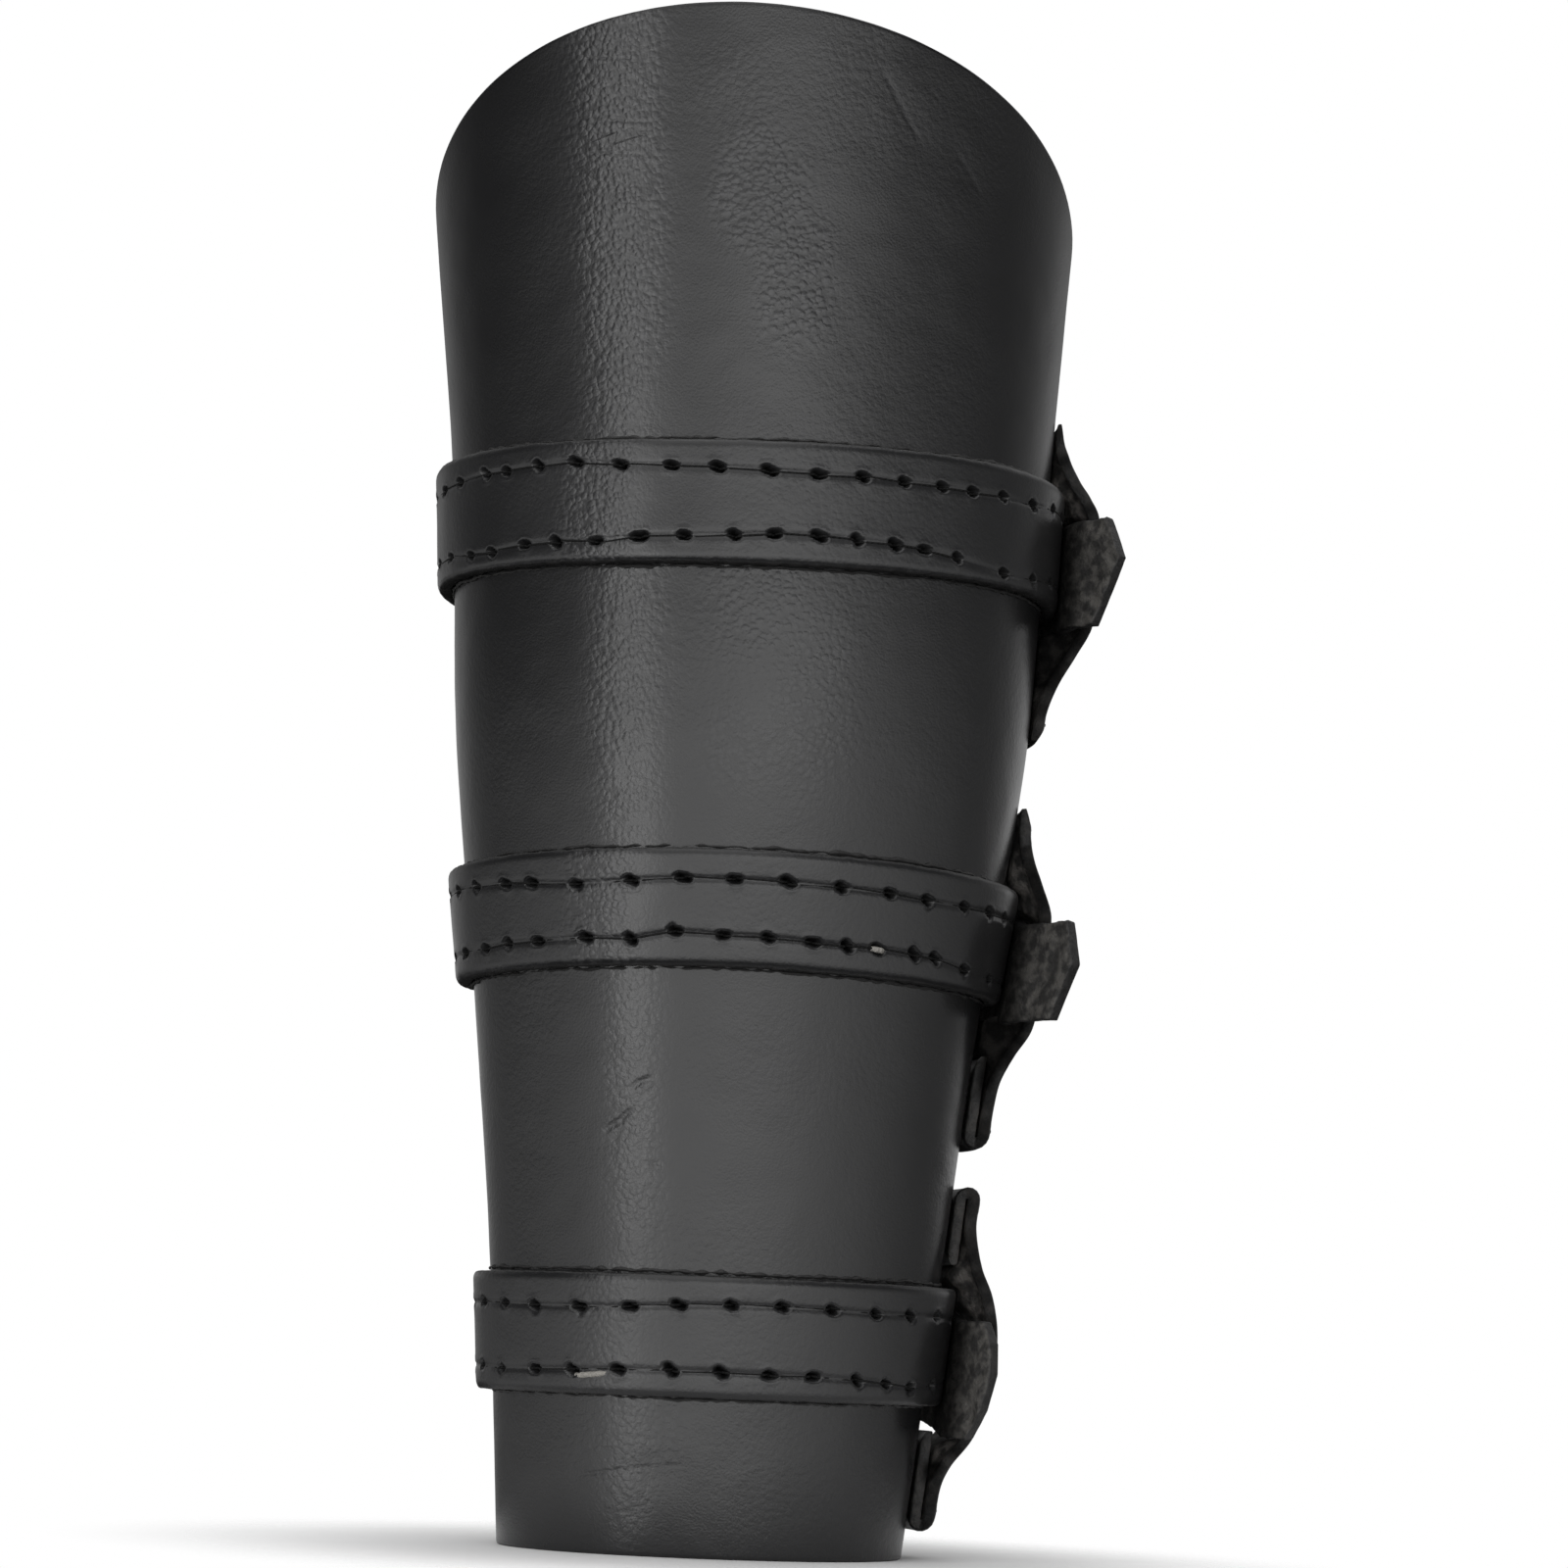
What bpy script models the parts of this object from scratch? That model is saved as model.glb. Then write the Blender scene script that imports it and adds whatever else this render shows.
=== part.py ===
"""Black leather vambrace, standing on its wrist rim.

The shell is one sheet of leather wrapped into a tapered oval tube that is open along the back.
Three straps are sewn across its front. Each one starts at a buckle at the back right, goes all the
way round, passes through that buckle and under an upright keeper, and ends in a free tail.
Lengths are in millimetres until a mesh is made; +Z is up and the front faces -Y.
"""

import math
from collections import namedtuple

import bmesh
import bpy
from mathutils import Vector

MM = 0.001  # metres in a millimetre
GAP = 0.35  # air between two pieces that touch on the real thing

# The form that the leather is wrapped on, from the wrist up.
Section = namedtuple("Section", "height half_width centre_x")
SECTIONS = (
    Section(0.0, 33.8, 0.1),
    Section(45.0, 37.9, 1.0),
    Section(90.0, 42.9, 1.1),
    Section(135.0, 48.9, 1.7),
    Section(180.0, 51.6, 1.5),
    Section(225.0, 55.6, 0.4),
    Section(260.0, 58.8, 0.0),
)
DEPTH_RATIO = 0.87  # half depth over half width of the oval

# Shell
SHELL_WALL = 2.5
FRONT_HEIGHT = 251.9  # top of the dome, at the front
RIM_FALL = 27.0  # how much lower the rim is at the sides than at the front
BACK_GAP = 20.0  # width of the opening along the back
CORNER_RADIUS = 8.0  # of the four corners at that opening
SHELL_COLUMNS = 66
SHELL_ROWS = 13
CORNER_COLUMNS = 4

# Strap leather
STRAP_THICK = 2.6
TURN_THICK = 1.8  # pared down where it turns round the buckle bar
TURN_LEAF = 8.5  # length of the turned-under leaf
TURN_CLEARANCE = 0.25
STATION_STEP = 5.5  # degrees round the form from one strap section to the next

# Buckle, one bent wire with its prong. Back means round the form, from the right side.
BAR_BACK = 33.0
BUCKLE_LENGTH = 13.0
WIRE_RADIUS = 1.1
PRONG_RADIUS = 0.9
BUCKLE_SIDE_ROOM = 1.9  # between the strap's edge and the frame's inner side
BUCKLE_CORNER = 3.0
SLOT_HALF = 1.7  # half the width of the prong's slot and hole
HOLE_START = 2.6  # the tail's prong hole, from the bar
HOLE_END = 8.0

# Outward curl of the straps' free tails
FLARE_START = 1.5  # back from the right side
FLARE_RADIUS = 6.0
FLARE_TURN = 60.0
TAPER_LENGTH = 9.0  # over which a tail draws in

# Keeper
KEEPER_THICK = 2.1
KEEPER_FRONT = 1.5  # its front edge, back from the right side
KEEPER_WIDTH = 14.0
LEAF_GAP = 0.25  # between the two leaves of a turned end

# The three straps. Heights are at the front; side_rise is how much higher the strap lies at the
# sides; tail_drop is how much lower the free tail lies than the strap under it; tail_taper is how
# far each edge of the tail draws in at its end. The tail ends at the given lengths past its curl,
# along its upper edge, its point and its lower edge.
Strap = namedtuple(
    "Strap",
    "name height width side_rise tail_drop tail_taper end_top end_point end_bottom",
)
STRAPS = (
    Strap("upper", 169.1, 20.2, 2.0, 4.0, 0.8, 4.6, 8.0, 3.1),
    Strap("middle", 103.5, 18.8, -0.8, 4.4, 1.1, 7.2, 10.4, 7.2),
    Strap("lower", 35.1, 19.4, 0.1, 5.2, 0.0, 2.3, 5.5, 1.9),
)

# The keepers' outer faces: height, and how far that face stands off the shell.
Rise = namedtuple("Rise", "height face")
KEEPER_FACES = {
    "upper": (
        Rise(195.4, 2.5),
        Rise(190.0, 2.7),
        Rise(184.6, 5.3),
        Rise(181.4, 7.6),
        Rise(178.0, 9.3),
        Rise(168.5, 9.4),
        Rise(159.5, 9.4),
        Rise(154.4, 7.1),
        Rise(149.1, 4.4),
        Rise(144.0, 2.8),
        Rise(139.0, 2.5),
    ),
    "middle": (
        Rise(127.2, 2.5),
        Rise(122.6, 3.0),
        Rise(118.3, 4.4),
        Rise(113.4, 6.9),
        Rise(108.4, 9.2),
        Rise(99.5, 9.7),
        Rise(89.8, 9.5),
        Rise(85.0, 7.2),
        Rise(80.5, 5.4),
        Rise(76.0, 4.9),
        Rise(68.7, 4.8),
    ),
    "lower": (
        Rise(62.3, 4.8),
        Rise(55.0, 4.9),
        Rise(48.4, 6.9),
        Rise(43.7, 9.3),
        Rise(38.1, 10.9),
        Rise(31.5, 11.4),
        Rise(24.9, 10.7),
        Rise(20.0, 9.0),
        Rise(16.0, 6.4),
        Rise(12.4, 5.1),
        Rise(4.6, 4.8),
    ),
}
# Length of the turned-under leaf at each end, none where the end is single.
Leaves = namedtuple("Leaves", "top bottom")
KEEPER_LEAVES = {
    "upper": Leaves(0.0, 0.0),
    "middle": Leaves(0.0, 14.5),
    "lower": Leaves(12.0, 15.5),
}

BLACK_LEATHER = (0.022, 0.022, 0.023)
BLACK_METAL = (0.12, 0.12, 0.125)

Station = namedtuple("Station", "back off thick open")


def clear_scene():
    for item in list(bpy.data.objects):
        bpy.data.objects.remove(item, do_unlink=True)


def plain_material(name, colour, roughness, metallic):
    material = bpy.data.materials.new(name)
    material.use_nodes = True
    shader = material.node_tree.nodes["Principled BSDF"]
    shader.inputs["Base Color"].default_value = (*colour, 1.0)
    shader.inputs["Roughness"].default_value = roughness
    shader.inputs["Metallic"].default_value = metallic
    return material


def smooth_column(rows, column, height):
    """Value of a column at a height, on a smooth curve through the table's rows."""
    heights = [row.height for row in rows]
    values = [getattr(row, column) for row in rows]
    last = len(rows) - 1
    low = 0
    while low < last - 1 and height > heights[low + 1]:
        low += 1
    high = low + 1

    def slope(index):
        before = max(index - 1, 0)
        after = min(index + 1, last)
        return (values[after] - values[before]) / (heights[after] - heights[before])

    span = heights[high] - heights[low]
    t = (height - heights[low]) / span
    return (
        (2 * t**3 - 3 * t**2 + 1) * values[low]
        + (t**3 - 2 * t**2 + t) * span * slope(low)
        + (3 * t**2 - 2 * t**3) * values[high]
        + (t**3 - t**2) * span * slope(high)
    )


def oval(height):
    half_width = smooth_column(SECTIONS, "half_width", height)
    return half_width, half_width * DEPTH_RATIO, smooth_column(SECTIONS, "centre_x", height)


def form_point(angle, height, off=0.0):
    """Point at a distance off the shell's outer face; angle 0 is the front, 90 degrees the right side."""
    half_width, half_depth, centre_x = oval(height)
    across = Vector((half_depth * math.sin(angle), -half_width * math.cos(angle), 0.0)).normalized()
    on_face = Vector((centre_x + half_width * math.sin(angle), -half_depth * math.cos(angle), height))
    return on_face + across * off


class Lap:
    """Turns a distance round the form at one height, back from the right side, into an angle."""

    STEPS = 720

    def __init__(self, height):
        half_width, half_depth, _ = oval(height)
        self.back = [0.0]
        for step in range(self.STEPS):
            angle = math.pi / 2 + 2 * math.pi * (step + 0.5) / self.STEPS
            stretch = math.hypot(half_width * math.cos(angle), half_depth * math.sin(angle))
            self.back.append(self.back[-1] + stretch * 2 * math.pi / self.STEPS)
        self.length = self.back[-1]

    def angle(self, back):
        laps = math.floor(back / self.length)
        rest = back - laps * self.length
        low = 0
        high = self.STEPS
        while high - low > 1:
            middle = (low + high) // 2
            if self.back[middle] <= rest:
                low = middle
            else:
                high = middle
        share = (rest - self.back[low]) / (self.back[high] - self.back[low])
        return math.pi / 2 + 2 * math.pi * (laps + (low + share) / self.STEPS)


def smooth_step(value):
    value = min(max(value, 0.0), 1.0)
    return value * value * (3 - 2 * value)


def add_object(name, mesh, material):
    mesh.materials.append(material)
    mesh.shade_smooth()
    mesh.set_sharp_from_angle(angle=math.radians(40))
    piece = bpy.data.objects.new(name, mesh)
    bpy.context.scene.collection.objects.link(piece)
    return piece


def sheet_body(name, face, underside, is_open, material):
    """Closed leather body between two grids of points, face and underside, without its open cells."""
    shape = bmesh.new()
    column_key = shape.verts.layers.int.new("column")
    row_key = shape.verts.layers.int.new("row")
    grid = []
    for column, points in enumerate(face):
        line = []
        for row, point in enumerate(points):
            corner = shape.verts.new(point * MM)
            corner[column_key] = column
            corner[row_key] = row
            line.append(corner)
        grid.append(line)
    for column in range(len(grid) - 1):
        for row in range(len(grid[column]) - 1):
            if is_open(column, row):
                continue
            shape.faces.new(
                (grid[column][row], grid[column + 1][row], grid[column + 1][row + 1], grid[column][row + 1])
            )
    grown = bmesh.ops.extrude_face_region(shape, geom=shape.faces[:])
    for item in grown["geom"]:
        if isinstance(item, bmesh.types.BMVert):
            item.co = underside[item[column_key]][item[row_key]] * MM
    bmesh.ops.recalc_face_normals(shape, faces=shape.faces[:])
    mesh = bpy.data.meshes.new(name)
    shape.to_mesh(mesh)
    shape.free()
    return add_object(name, mesh, material)


def shell_columns():
    """Angles of the shell's columns, closer together at the back opening's rounded corners."""
    edge = math.pi - math.asin(BACK_GAP / 2 / oval(FRONT_HEIGHT / 2)[0])
    corner = CORNER_RADIUS / oval(FRONT_HEIGHT / 2)[0]
    inner = [
        -edge + corner + (2 * edge - 2 * corner) * step / SHELL_COLUMNS for step in range(SHELL_COLUMNS + 1)
    ]
    # A quarter circle's own spacing keeps the rounding even
    steps = [1 - math.cos(math.pi / 2 * step / CORNER_COLUMNS) for step in range(CORNER_COLUMNS)]
    left = [-edge + corner * step for step in steps]
    right = [edge - corner * step for step in reversed(steps)]
    return left + inner + right, edge, corner


def build_shell(material):
    angles, edge, corner = shell_columns()
    face = []
    underside = []
    for angle in angles:
        inward = min((edge - abs(angle)) / corner, 1.0)
        rounding = CORNER_RADIUS * (1 - math.sqrt(1 - (1 - inward) ** 2))
        top = FRONT_HEIGHT - RIM_FALL * (1 - math.cos(angle)) - rounding
        outer_line = []
        inner_line = []
        for row in range(SHELL_ROWS + 1):
            height = rounding + (top - rounding) * row / SHELL_ROWS
            half_width = oval(height)[0]
            # The opening keeps its width all the way up, so the columns spread as the oval grows
            edge_here = math.pi - math.asin(BACK_GAP / 2 / half_width)
            turned = angle * edge_here / edge
            outer_line.append(form_point(turned, height))
            inner_line.append(form_point(turned, height, -SHELL_WALL))
        face.append(outer_line)
        underside.append(inner_line)
    return sheet_body("shell", face, underside, lambda column, row: False, material)


def bar_off():
    """Distance of the buckle bar's centre off the shell."""
    return GAP + TURN_THICK + TURN_CLEARANCE + WIRE_RADIUS


def turn_stations():
    """Turned leaf, fold round the bar, and the strap's way down to the shell."""
    middle_radius = WIRE_RADIUS + TURN_CLEARANCE + TURN_THICK / 2
    centre = bar_off()
    leaf_off = centre - middle_radius
    top_off = centre + middle_radius
    on_shell = GAP + STRAP_THICK / 2
    over_leaf = leaf_off + TURN_THICK / 2 + GAP + STRAP_THICK / 2
    yield Station(BAR_BACK - TURN_LEAF, leaf_off, TURN_THICK, False)
    yield Station(BAR_BACK - TURN_LEAF / 2, leaf_off, TURN_THICK, False)
    for step in range(7):
        swing = math.radians(-90 + 30 * step)
        yield Station(
            BAR_BACK + middle_radius * math.cos(swing), centre + middle_radius * math.sin(swing), TURN_THICK, step < 6
        )
    yield Station(BAR_BACK - 2.5, top_off - 0.3, TURN_THICK + 0.2, False)
    yield Station(BAR_BACK - 5.5, over_leaf + 0.55, STRAP_THICK, False)
    yield Station(BAR_BACK - TURN_LEAF - 0.5, over_leaf, STRAP_THICK, False)
    yield Station(BAR_BACK - TURN_LEAF - 2.5, over_leaf - 0.7, STRAP_THICK, False)
    yield Station(BAR_BACK - TURN_LEAF - 5.5, on_shell + 0.45, STRAP_THICK, False)
    yield Station(BAR_BACK - TURN_LEAF - 8.5, on_shell, STRAP_THICK, False)


def lap_stations(lap):
    """The strap lying on the shell, from the right side round the front and the back."""
    start = BAR_BACK - TURN_LEAF - 8.5
    end = BAR_BACK + BUCKLE_LENGTH + 10.0 - lap.length
    count = round((start - end) / lap.length * 360 / STATION_STEP)
    for step in range(1, count + 1):
        yield Station(start + (end - start) * step / count, GAP + STRAP_THICK / 2, STRAP_THICK, False)


def far_bar_off():
    """Distance of the frame's far bar off the shell, over the strap that passes under it."""
    return tail_rise(BUCKLE_LENGTH) + STRAP_THICK / 2 + GAP + WIRE_RADIUS + 0.15


def tail_rise(past_bar):
    """How far off the shell the tail's middle lies, as it climbs over the folded bar."""
    on_shell = GAP + STRAP_THICK / 2
    over_bar = bar_off() + WIRE_RADIUS + TURN_CLEARANCE + TURN_THICK + GAP + STRAP_THICK / 2
    share = smooth_step(1 - past_bar / (BUCKLE_LENGTH + 10.0))
    return on_shell + (over_bar - on_shell) * share


def tail_stations(lap):
    """Through the buckle, over the strap's own start, under the keeper and out in the flare."""
    for past_bar in (19.0, 16.0, 13.0, 10.5, HOLE_END, HOLE_END - 1.8, HOLE_START + 1.8, HOLE_START, 1.0, -1.2):
        is_hole = HOLE_START < past_bar <= HOLE_END
        yield Station(BAR_BACK + past_bar - lap.length, tail_rise(past_bar), STRAP_THICK, is_hole)
    second = GAP + STRAP_THICK + GAP + STRAP_THICK / 2
    over_bar = tail_rise(0.0)
    for before_bar, off in (
        (3.5, over_bar - 0.25),
        (6.0, over_bar - 0.9),
        (TURN_LEAF + 0.5, second + 2.3),
        (TURN_LEAF + 3.5, second + 1.25),
        (TURN_LEAF + 6.5, second + 0.35),
        (TURN_LEAF + 9.5, second),
    ):
        yield Station(BAR_BACK - before_bar - lap.length, off, STRAP_THICK, False)
    yield Station(9.0 - lap.length, second, STRAP_THICK, False)
    yield Station(5.0 - lap.length, second, STRAP_THICK, False)
    for step in range(6):
        swing = math.radians(FLARE_TURN) * step / 5
        yield Station(
            FLARE_START - FLARE_RADIUS * math.sin(swing) - lap.length,
            second + FLARE_RADIUS * (1 - math.cos(swing)),
            STRAP_THICK,
            False,
        )


def build_strap(strap, material):
    lap = Lap(strap.height)
    stations = [*turn_stations(), *lap_stations(lap), *tail_stations(lap)]
    turn = math.radians(FLARE_TURN)
    half = strap.width / 2
    lanes = (-half, -SLOT_HALF, SLOT_HALF, half)
    tip_lengths = (strap.end_bottom, strap.end_point, strap.end_point, strap.end_top)
    end = stations[-1]

    # Direction of the route at each station, for the two faces to stand square to it
    points = [Vector((station.back, station.off)) for station in stations]
    ahead = [points[min(i + 1, len(points) - 1)] - points[max(i - 1, 0)] for i in range(len(points))]
    ahead[-1] = Vector((-math.cos(turn), math.sin(turn)))

    def place(back, off, way, side, lane, thick):
        """A point on one face of the strap; way is the route's direction and side is +1 or -1."""
        square = Vector((way.y, -way.x)).normalized() * side * thick / 2
        angle = lap.angle(back + square.x)
        drop = strap.tail_drop * smooth_step((BAR_BACK - 2 - (back + lap.length)) / BAR_BACK)
        lane *= 1 - strap.tail_taper / half * smooth_step(1 - (back + lap.length) / TAPER_LENGTH)
        height = strap.height + strap.side_rise * math.sin(angle) ** 2 - drop + lane
        return form_point(angle, height, off + square.y)

    face = []
    underside = []
    for station, way in zip(stations, ahead):
        face.append([place(station.back, station.off, way, -1, lane, station.thick) for lane in lanes])
        underside.append([place(station.back, station.off, way, 1, lane, station.thick) for lane in lanes])
    tip_face = []
    tip_underside = []
    for lane, length in zip(lanes, tip_lengths):
        back = end.back - math.cos(turn) * length
        off = end.off + math.sin(turn) * length
        tip_face.append(place(back, off, ahead[-1], -1, lane, STRAP_THICK))
        tip_underside.append(place(back, off, ahead[-1], 1, lane, STRAP_THICK))
    face.append(tip_face)
    underside.append(tip_underside)

    def is_open(column, row):
        return row == 1 and column < len(stations) and stations[column].open

    return sheet_body("strap_" + strap.name, face, underside, is_open, material)


def keeper_route(name):
    """Middle line of a keeper from its upper leaf's end to its lower leaf's end, as (height, off)."""
    rows = KEEPER_FACES[name]
    leaves = KEEPER_LEAVES[name]
    half = KEEPER_THICK / 2
    inner = GAP + half
    fold_radius = (KEEPER_THICK + LEAF_GAP) / 2
    fold_off = inner + fold_radius
    route = []
    if leaves.top:
        top = rows[0].height - half - fold_radius
        route += [Vector((top + half - leaves.top, inner)), Vector((top - leaves.top / 2, inner))]
        for step in range(5):
            swing = math.radians(-90 + 45 * step)
            route.append(
                Vector((top + fold_radius * math.cos(swing), fold_off + fold_radius * math.sin(swing)))
            )
    body = rows[1:] if leaves.top else rows
    body = body[:-1] if leaves.bottom else body
    route += [Vector((row.height, row.face - half)) for row in body]
    if leaves.bottom:
        low = rows[-1].height + half + fold_radius
        for step in range(5):
            swing = math.radians(90 + 45 * step)
            route.append(
                Vector((low + fold_radius * math.cos(swing), fold_off + fold_radius * math.sin(swing)))
            )
        route += [Vector((low + leaves.bottom / 2, inner)), Vector((low - half + leaves.bottom, inner))]
    return route


def build_keeper(strap, material):
    name = strap.name
    lap = Lap(strap.height)
    route = keeper_route(name)
    half = KEEPER_THICK / 2
    sides = [lap.angle(KEEPER_FRONT + KEEPER_WIDTH * share) for share in (0.0, 0.35, 0.7, 1.0)]
    face = []
    underside = []
    for index, point in enumerate(route):
        before = route[max(index - 1, 0)]
        after = route[min(index + 1, len(route) - 1)]
        way = after - before
        square = Vector((-way.y, way.x)).normalized() * half
        outer = point - square
        inner = point + square
        face.append([form_point(angle, outer.x, outer.y) for angle in sides])
        underside.append([form_point(angle, inner.x, inner.y) for angle in sides])
    return sheet_body("keeper_" + name, face, underside, lambda column, row: False, material)


def wire(name, points, radius, cyclic, material):
    """Round bar along a list of points."""
    line = bpy.data.curves.new(name, "CURVE")
    line.dimensions = "3D"
    line.bevel_depth = radius * MM
    line.bevel_resolution = 2
    line.use_fill_caps = not cyclic
    spline = line.splines.new("POLY")
    spline.points.add(len(points) - 1)
    for knot, point in zip(spline.points, points):
        knot.co = (*(point * MM), 1.0)
    spline.use_cyclic_u = cyclic
    guide = bpy.data.objects.new(name, line)
    bpy.context.scene.collection.objects.link(guide)
    mesh = bpy.data.meshes.new_from_object(guide.evaluated_get(bpy.context.evaluated_depsgraph_get()))
    bpy.data.objects.remove(guide, do_unlink=True)
    mesh.materials.clear()
    return add_object(name, mesh, material)


def build_buckle(strap, material):
    lap = Lap(strap.height)
    angle = lap.angle(BAR_BACK)
    middle = strap.height + strap.side_rise * math.sin(angle) ** 2
    heel = form_point(angle, middle, bar_off())
    far = form_point(lap.angle(BAR_BACK + BUCKLE_LENGTH), middle, far_bar_off())
    # The form narrows to the wrist, so the frame leans with the wall
    up = (form_point(angle, middle + 10) - form_point(angle, middle - 10)).normalized()
    along = (far - heel).normalized()
    length = (far - heel).length
    half = strap.width / 2 + BUCKLE_SIDE_ROOM + WIRE_RADIUS

    frame_points = []
    for side_x, side_y, first in ((1, 1, 0), (0, 1, 90), (0, -1, 180), (1, -1, 270)):
        for step in range(4):
            swing = math.radians(first + 30 * step)
            x = side_x * length + (BUCKLE_CORNER if side_x == 0 else -BUCKLE_CORNER)
            y = side_y * (half - BUCKLE_CORNER)
            x += BUCKLE_CORNER * math.cos(swing)
            y += BUCKLE_CORNER * math.sin(swing)
            frame_points.append(heel + along * x + up * y)
    frame = wire("buckle_" + strap.name, frame_points, WIRE_RADIUS, True, material)

    over_far = far_bar_off() + WIRE_RADIUS + GAP + PRONG_RADIUS
    prong_points = [
        form_point(lap.angle(BAR_BACK + back), middle, off)
        for back, off in (
            (0.0, bar_off()),
            (2.6, bar_off() + 0.4),
            (4.6, bar_off() + 1.9),
            (6.6, bar_off() + 3.8),
            (9.2, over_far - 0.1),
            (BUCKLE_LENGTH + 1.4, over_far),
        )
    ]
    prong = wire("prong_" + strap.name, prong_points, PRONG_RADIUS, False, material)
    prong.hide_render = True
    prong.display_type = "WIRE"
    join = frame.modifiers.new("prong", "BOOLEAN")
    join.operation = "UNION"
    join.object = prong
    return frame, prong


def centre_over_origin(pieces, guides):
    """Hang all pieces from one empty and set its place so that they stand centred over the origin."""
    holder = bpy.data.objects.new("vambrace", None)
    bpy.context.scene.collection.objects.link(holder)
    bpy.context.view_layer.update()
    depsgraph = bpy.context.evaluated_depsgraph_get()
    corners = []
    for piece in pieces:
        shape = piece.evaluated_get(depsgraph)
        corners += [shape.matrix_world @ vertex.co for vertex in shape.to_mesh().vertices]
        shape.to_mesh_clear()
    for piece in [*pieces, *guides]:
        piece.parent = holder
    for axis in (0, 1):
        low = min(corner[axis] for corner in corners)
        high = max(corner[axis] for corner in corners)
        holder.location[axis] = -(low + high) / 2
    print("centre shift in mm:", [round(value / MM, 3) for value in holder.location])


def main():
    clear_scene()
    pieces = [build_shell(plain_material("shell_leather", BLACK_LEATHER, 0.5, 0.0))]
    guides = []
    for strap in STRAPS:
        leather = plain_material("strap_leather_" + strap.name, BLACK_LEATHER, 0.45, 0.0)
        pieces.append(build_strap(strap, leather))
        keeper_leather = plain_material("keeper_leather_" + strap.name, BLACK_LEATHER, 0.55, 0.0)
        pieces.append(build_keeper(strap, keeper_leather))
        metal = plain_material("buckle_metal_" + strap.name, BLACK_METAL, 0.35, 1.0)
        frame, prong = build_buckle(strap, metal)
        pieces.append(frame)
        guides.append(prong)
    centre_over_origin(pieces, guides)


main()
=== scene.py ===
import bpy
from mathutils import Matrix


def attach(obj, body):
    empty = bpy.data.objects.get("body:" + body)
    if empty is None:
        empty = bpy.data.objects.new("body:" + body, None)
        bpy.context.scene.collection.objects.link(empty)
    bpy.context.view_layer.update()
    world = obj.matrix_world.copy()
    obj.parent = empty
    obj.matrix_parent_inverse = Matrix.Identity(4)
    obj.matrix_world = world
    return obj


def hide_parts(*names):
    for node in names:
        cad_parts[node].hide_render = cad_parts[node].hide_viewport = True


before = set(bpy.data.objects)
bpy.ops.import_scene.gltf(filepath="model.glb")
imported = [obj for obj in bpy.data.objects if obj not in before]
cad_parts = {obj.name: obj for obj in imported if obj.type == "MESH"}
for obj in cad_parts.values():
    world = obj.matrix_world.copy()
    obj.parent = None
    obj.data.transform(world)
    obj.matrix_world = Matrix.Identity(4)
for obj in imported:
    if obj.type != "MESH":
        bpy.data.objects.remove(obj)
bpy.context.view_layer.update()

import math
import random

import bpy
import numpy as np
from mathutils import Euler, Matrix, Vector, noise

print("frame loaded,", len(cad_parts), "CAD nodes")

mm = 0.001  # metres in a millimetre; every other length here is in mm unless it says metres

# The oval form that the leather is wrapped on: height, half width and centre of each section
form = {
    "sections": np.array([
        (0.0, 33.8, 0.1),
        (45.0, 37.9, 1.0),
        (90.0, 42.9, 1.1),
        (135.0, 48.9, 1.7),
        (180.0, 51.6, 1.5),
        (225.0, 55.6, 0.4),
        (260.0, 58.8, 0.0),
    ]),
    "depthRatio": 0.87,
    "axis": np.array((-5.815, 1.362, 0.0)),  # where the form's axis stands in the frame
    "air": 0.35,  # between two pieces of leather
}


def smoothValue(table, column, at):
    # a column of the table on a smooth curve, the first column being the place along it
    at = np.asarray(at, float)
    places = table[:, 0]
    values = table[:, column]
    last = len(places) - 1
    before = np.maximum(np.arange(last + 1) - 1, 0)
    after = np.minimum(np.arange(last + 1) + 1, last)
    slopes = (values[after] - values[before]) / (places[after] - places[before])
    low = np.clip(np.searchsorted(places, at, side="left") - 1, 0, last - 1)
    span = places[low + 1] - places[low]
    t = (at - places[low]) / span
    return (
        (2 * t**3 - 3 * t**2 + 1) * values[low]
        + (t**3 - 2 * t**2 + t) * span * slopes[low]
        + (3 * t**2 - 2 * t**3) * values[low + 1]
        + (t**3 - t**2) * span * slopes[low + 1]
    )


def smoothStep(value):
    value = np.clip(value, 0.0, 1.0)
    return value * value * (3 - 2 * value)


def formPoint(angle, height, off=0.0):
    # angle 0 is the front, 90 degrees the right side; off is the distance off the shell's face
    angle, height, off = np.broadcast_arrays(angle, height, off)
    halfWidth = smoothValue(form["sections"], 1, height)
    halfDepth = halfWidth * form["depthRatio"]
    acrossX = halfDepth * np.sin(angle)
    acrossY = -halfWidth * np.cos(angle)
    length = np.hypot(acrossX, acrossY)
    x = smoothValue(form["sections"], 2, height) + halfWidth * np.sin(angle) + off * acrossX / length
    y = -halfDepth * np.cos(angle) + off * acrossY / length
    return np.stack([x, y, height], axis=-1)


def lapTable(height):
    # distances round the form at one height, back from the right side
    steps = 720
    halfWidth = float(smoothValue(form["sections"], 1, height))
    angle = math.pi / 2 + 2 * math.pi * (np.arange(steps) + 0.5) / steps
    stretch = np.hypot(halfWidth * np.cos(angle), halfWidth * form["depthRatio"] * np.sin(angle))
    return np.concatenate([[0.0], np.cumsum(stretch) * 2 * math.pi / steps])


def lapAngle(lap, back):
    laps = np.floor(back / lap[-1])
    steps = np.interp(back - laps * lap[-1], lap, np.arange(len(lap)))
    return math.pi / 2 + 2 * math.pi * (laps + steps / (len(lap) - 1))


def wander(points, size, seed):
    # smooth noise from -1 to 1, with features of that size in mm
    flat = points.reshape(-1, 3) / size + seed * 17.31
    return np.array([noise.noise(point) for point in flat]).reshape(points.shape[:-1])


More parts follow.
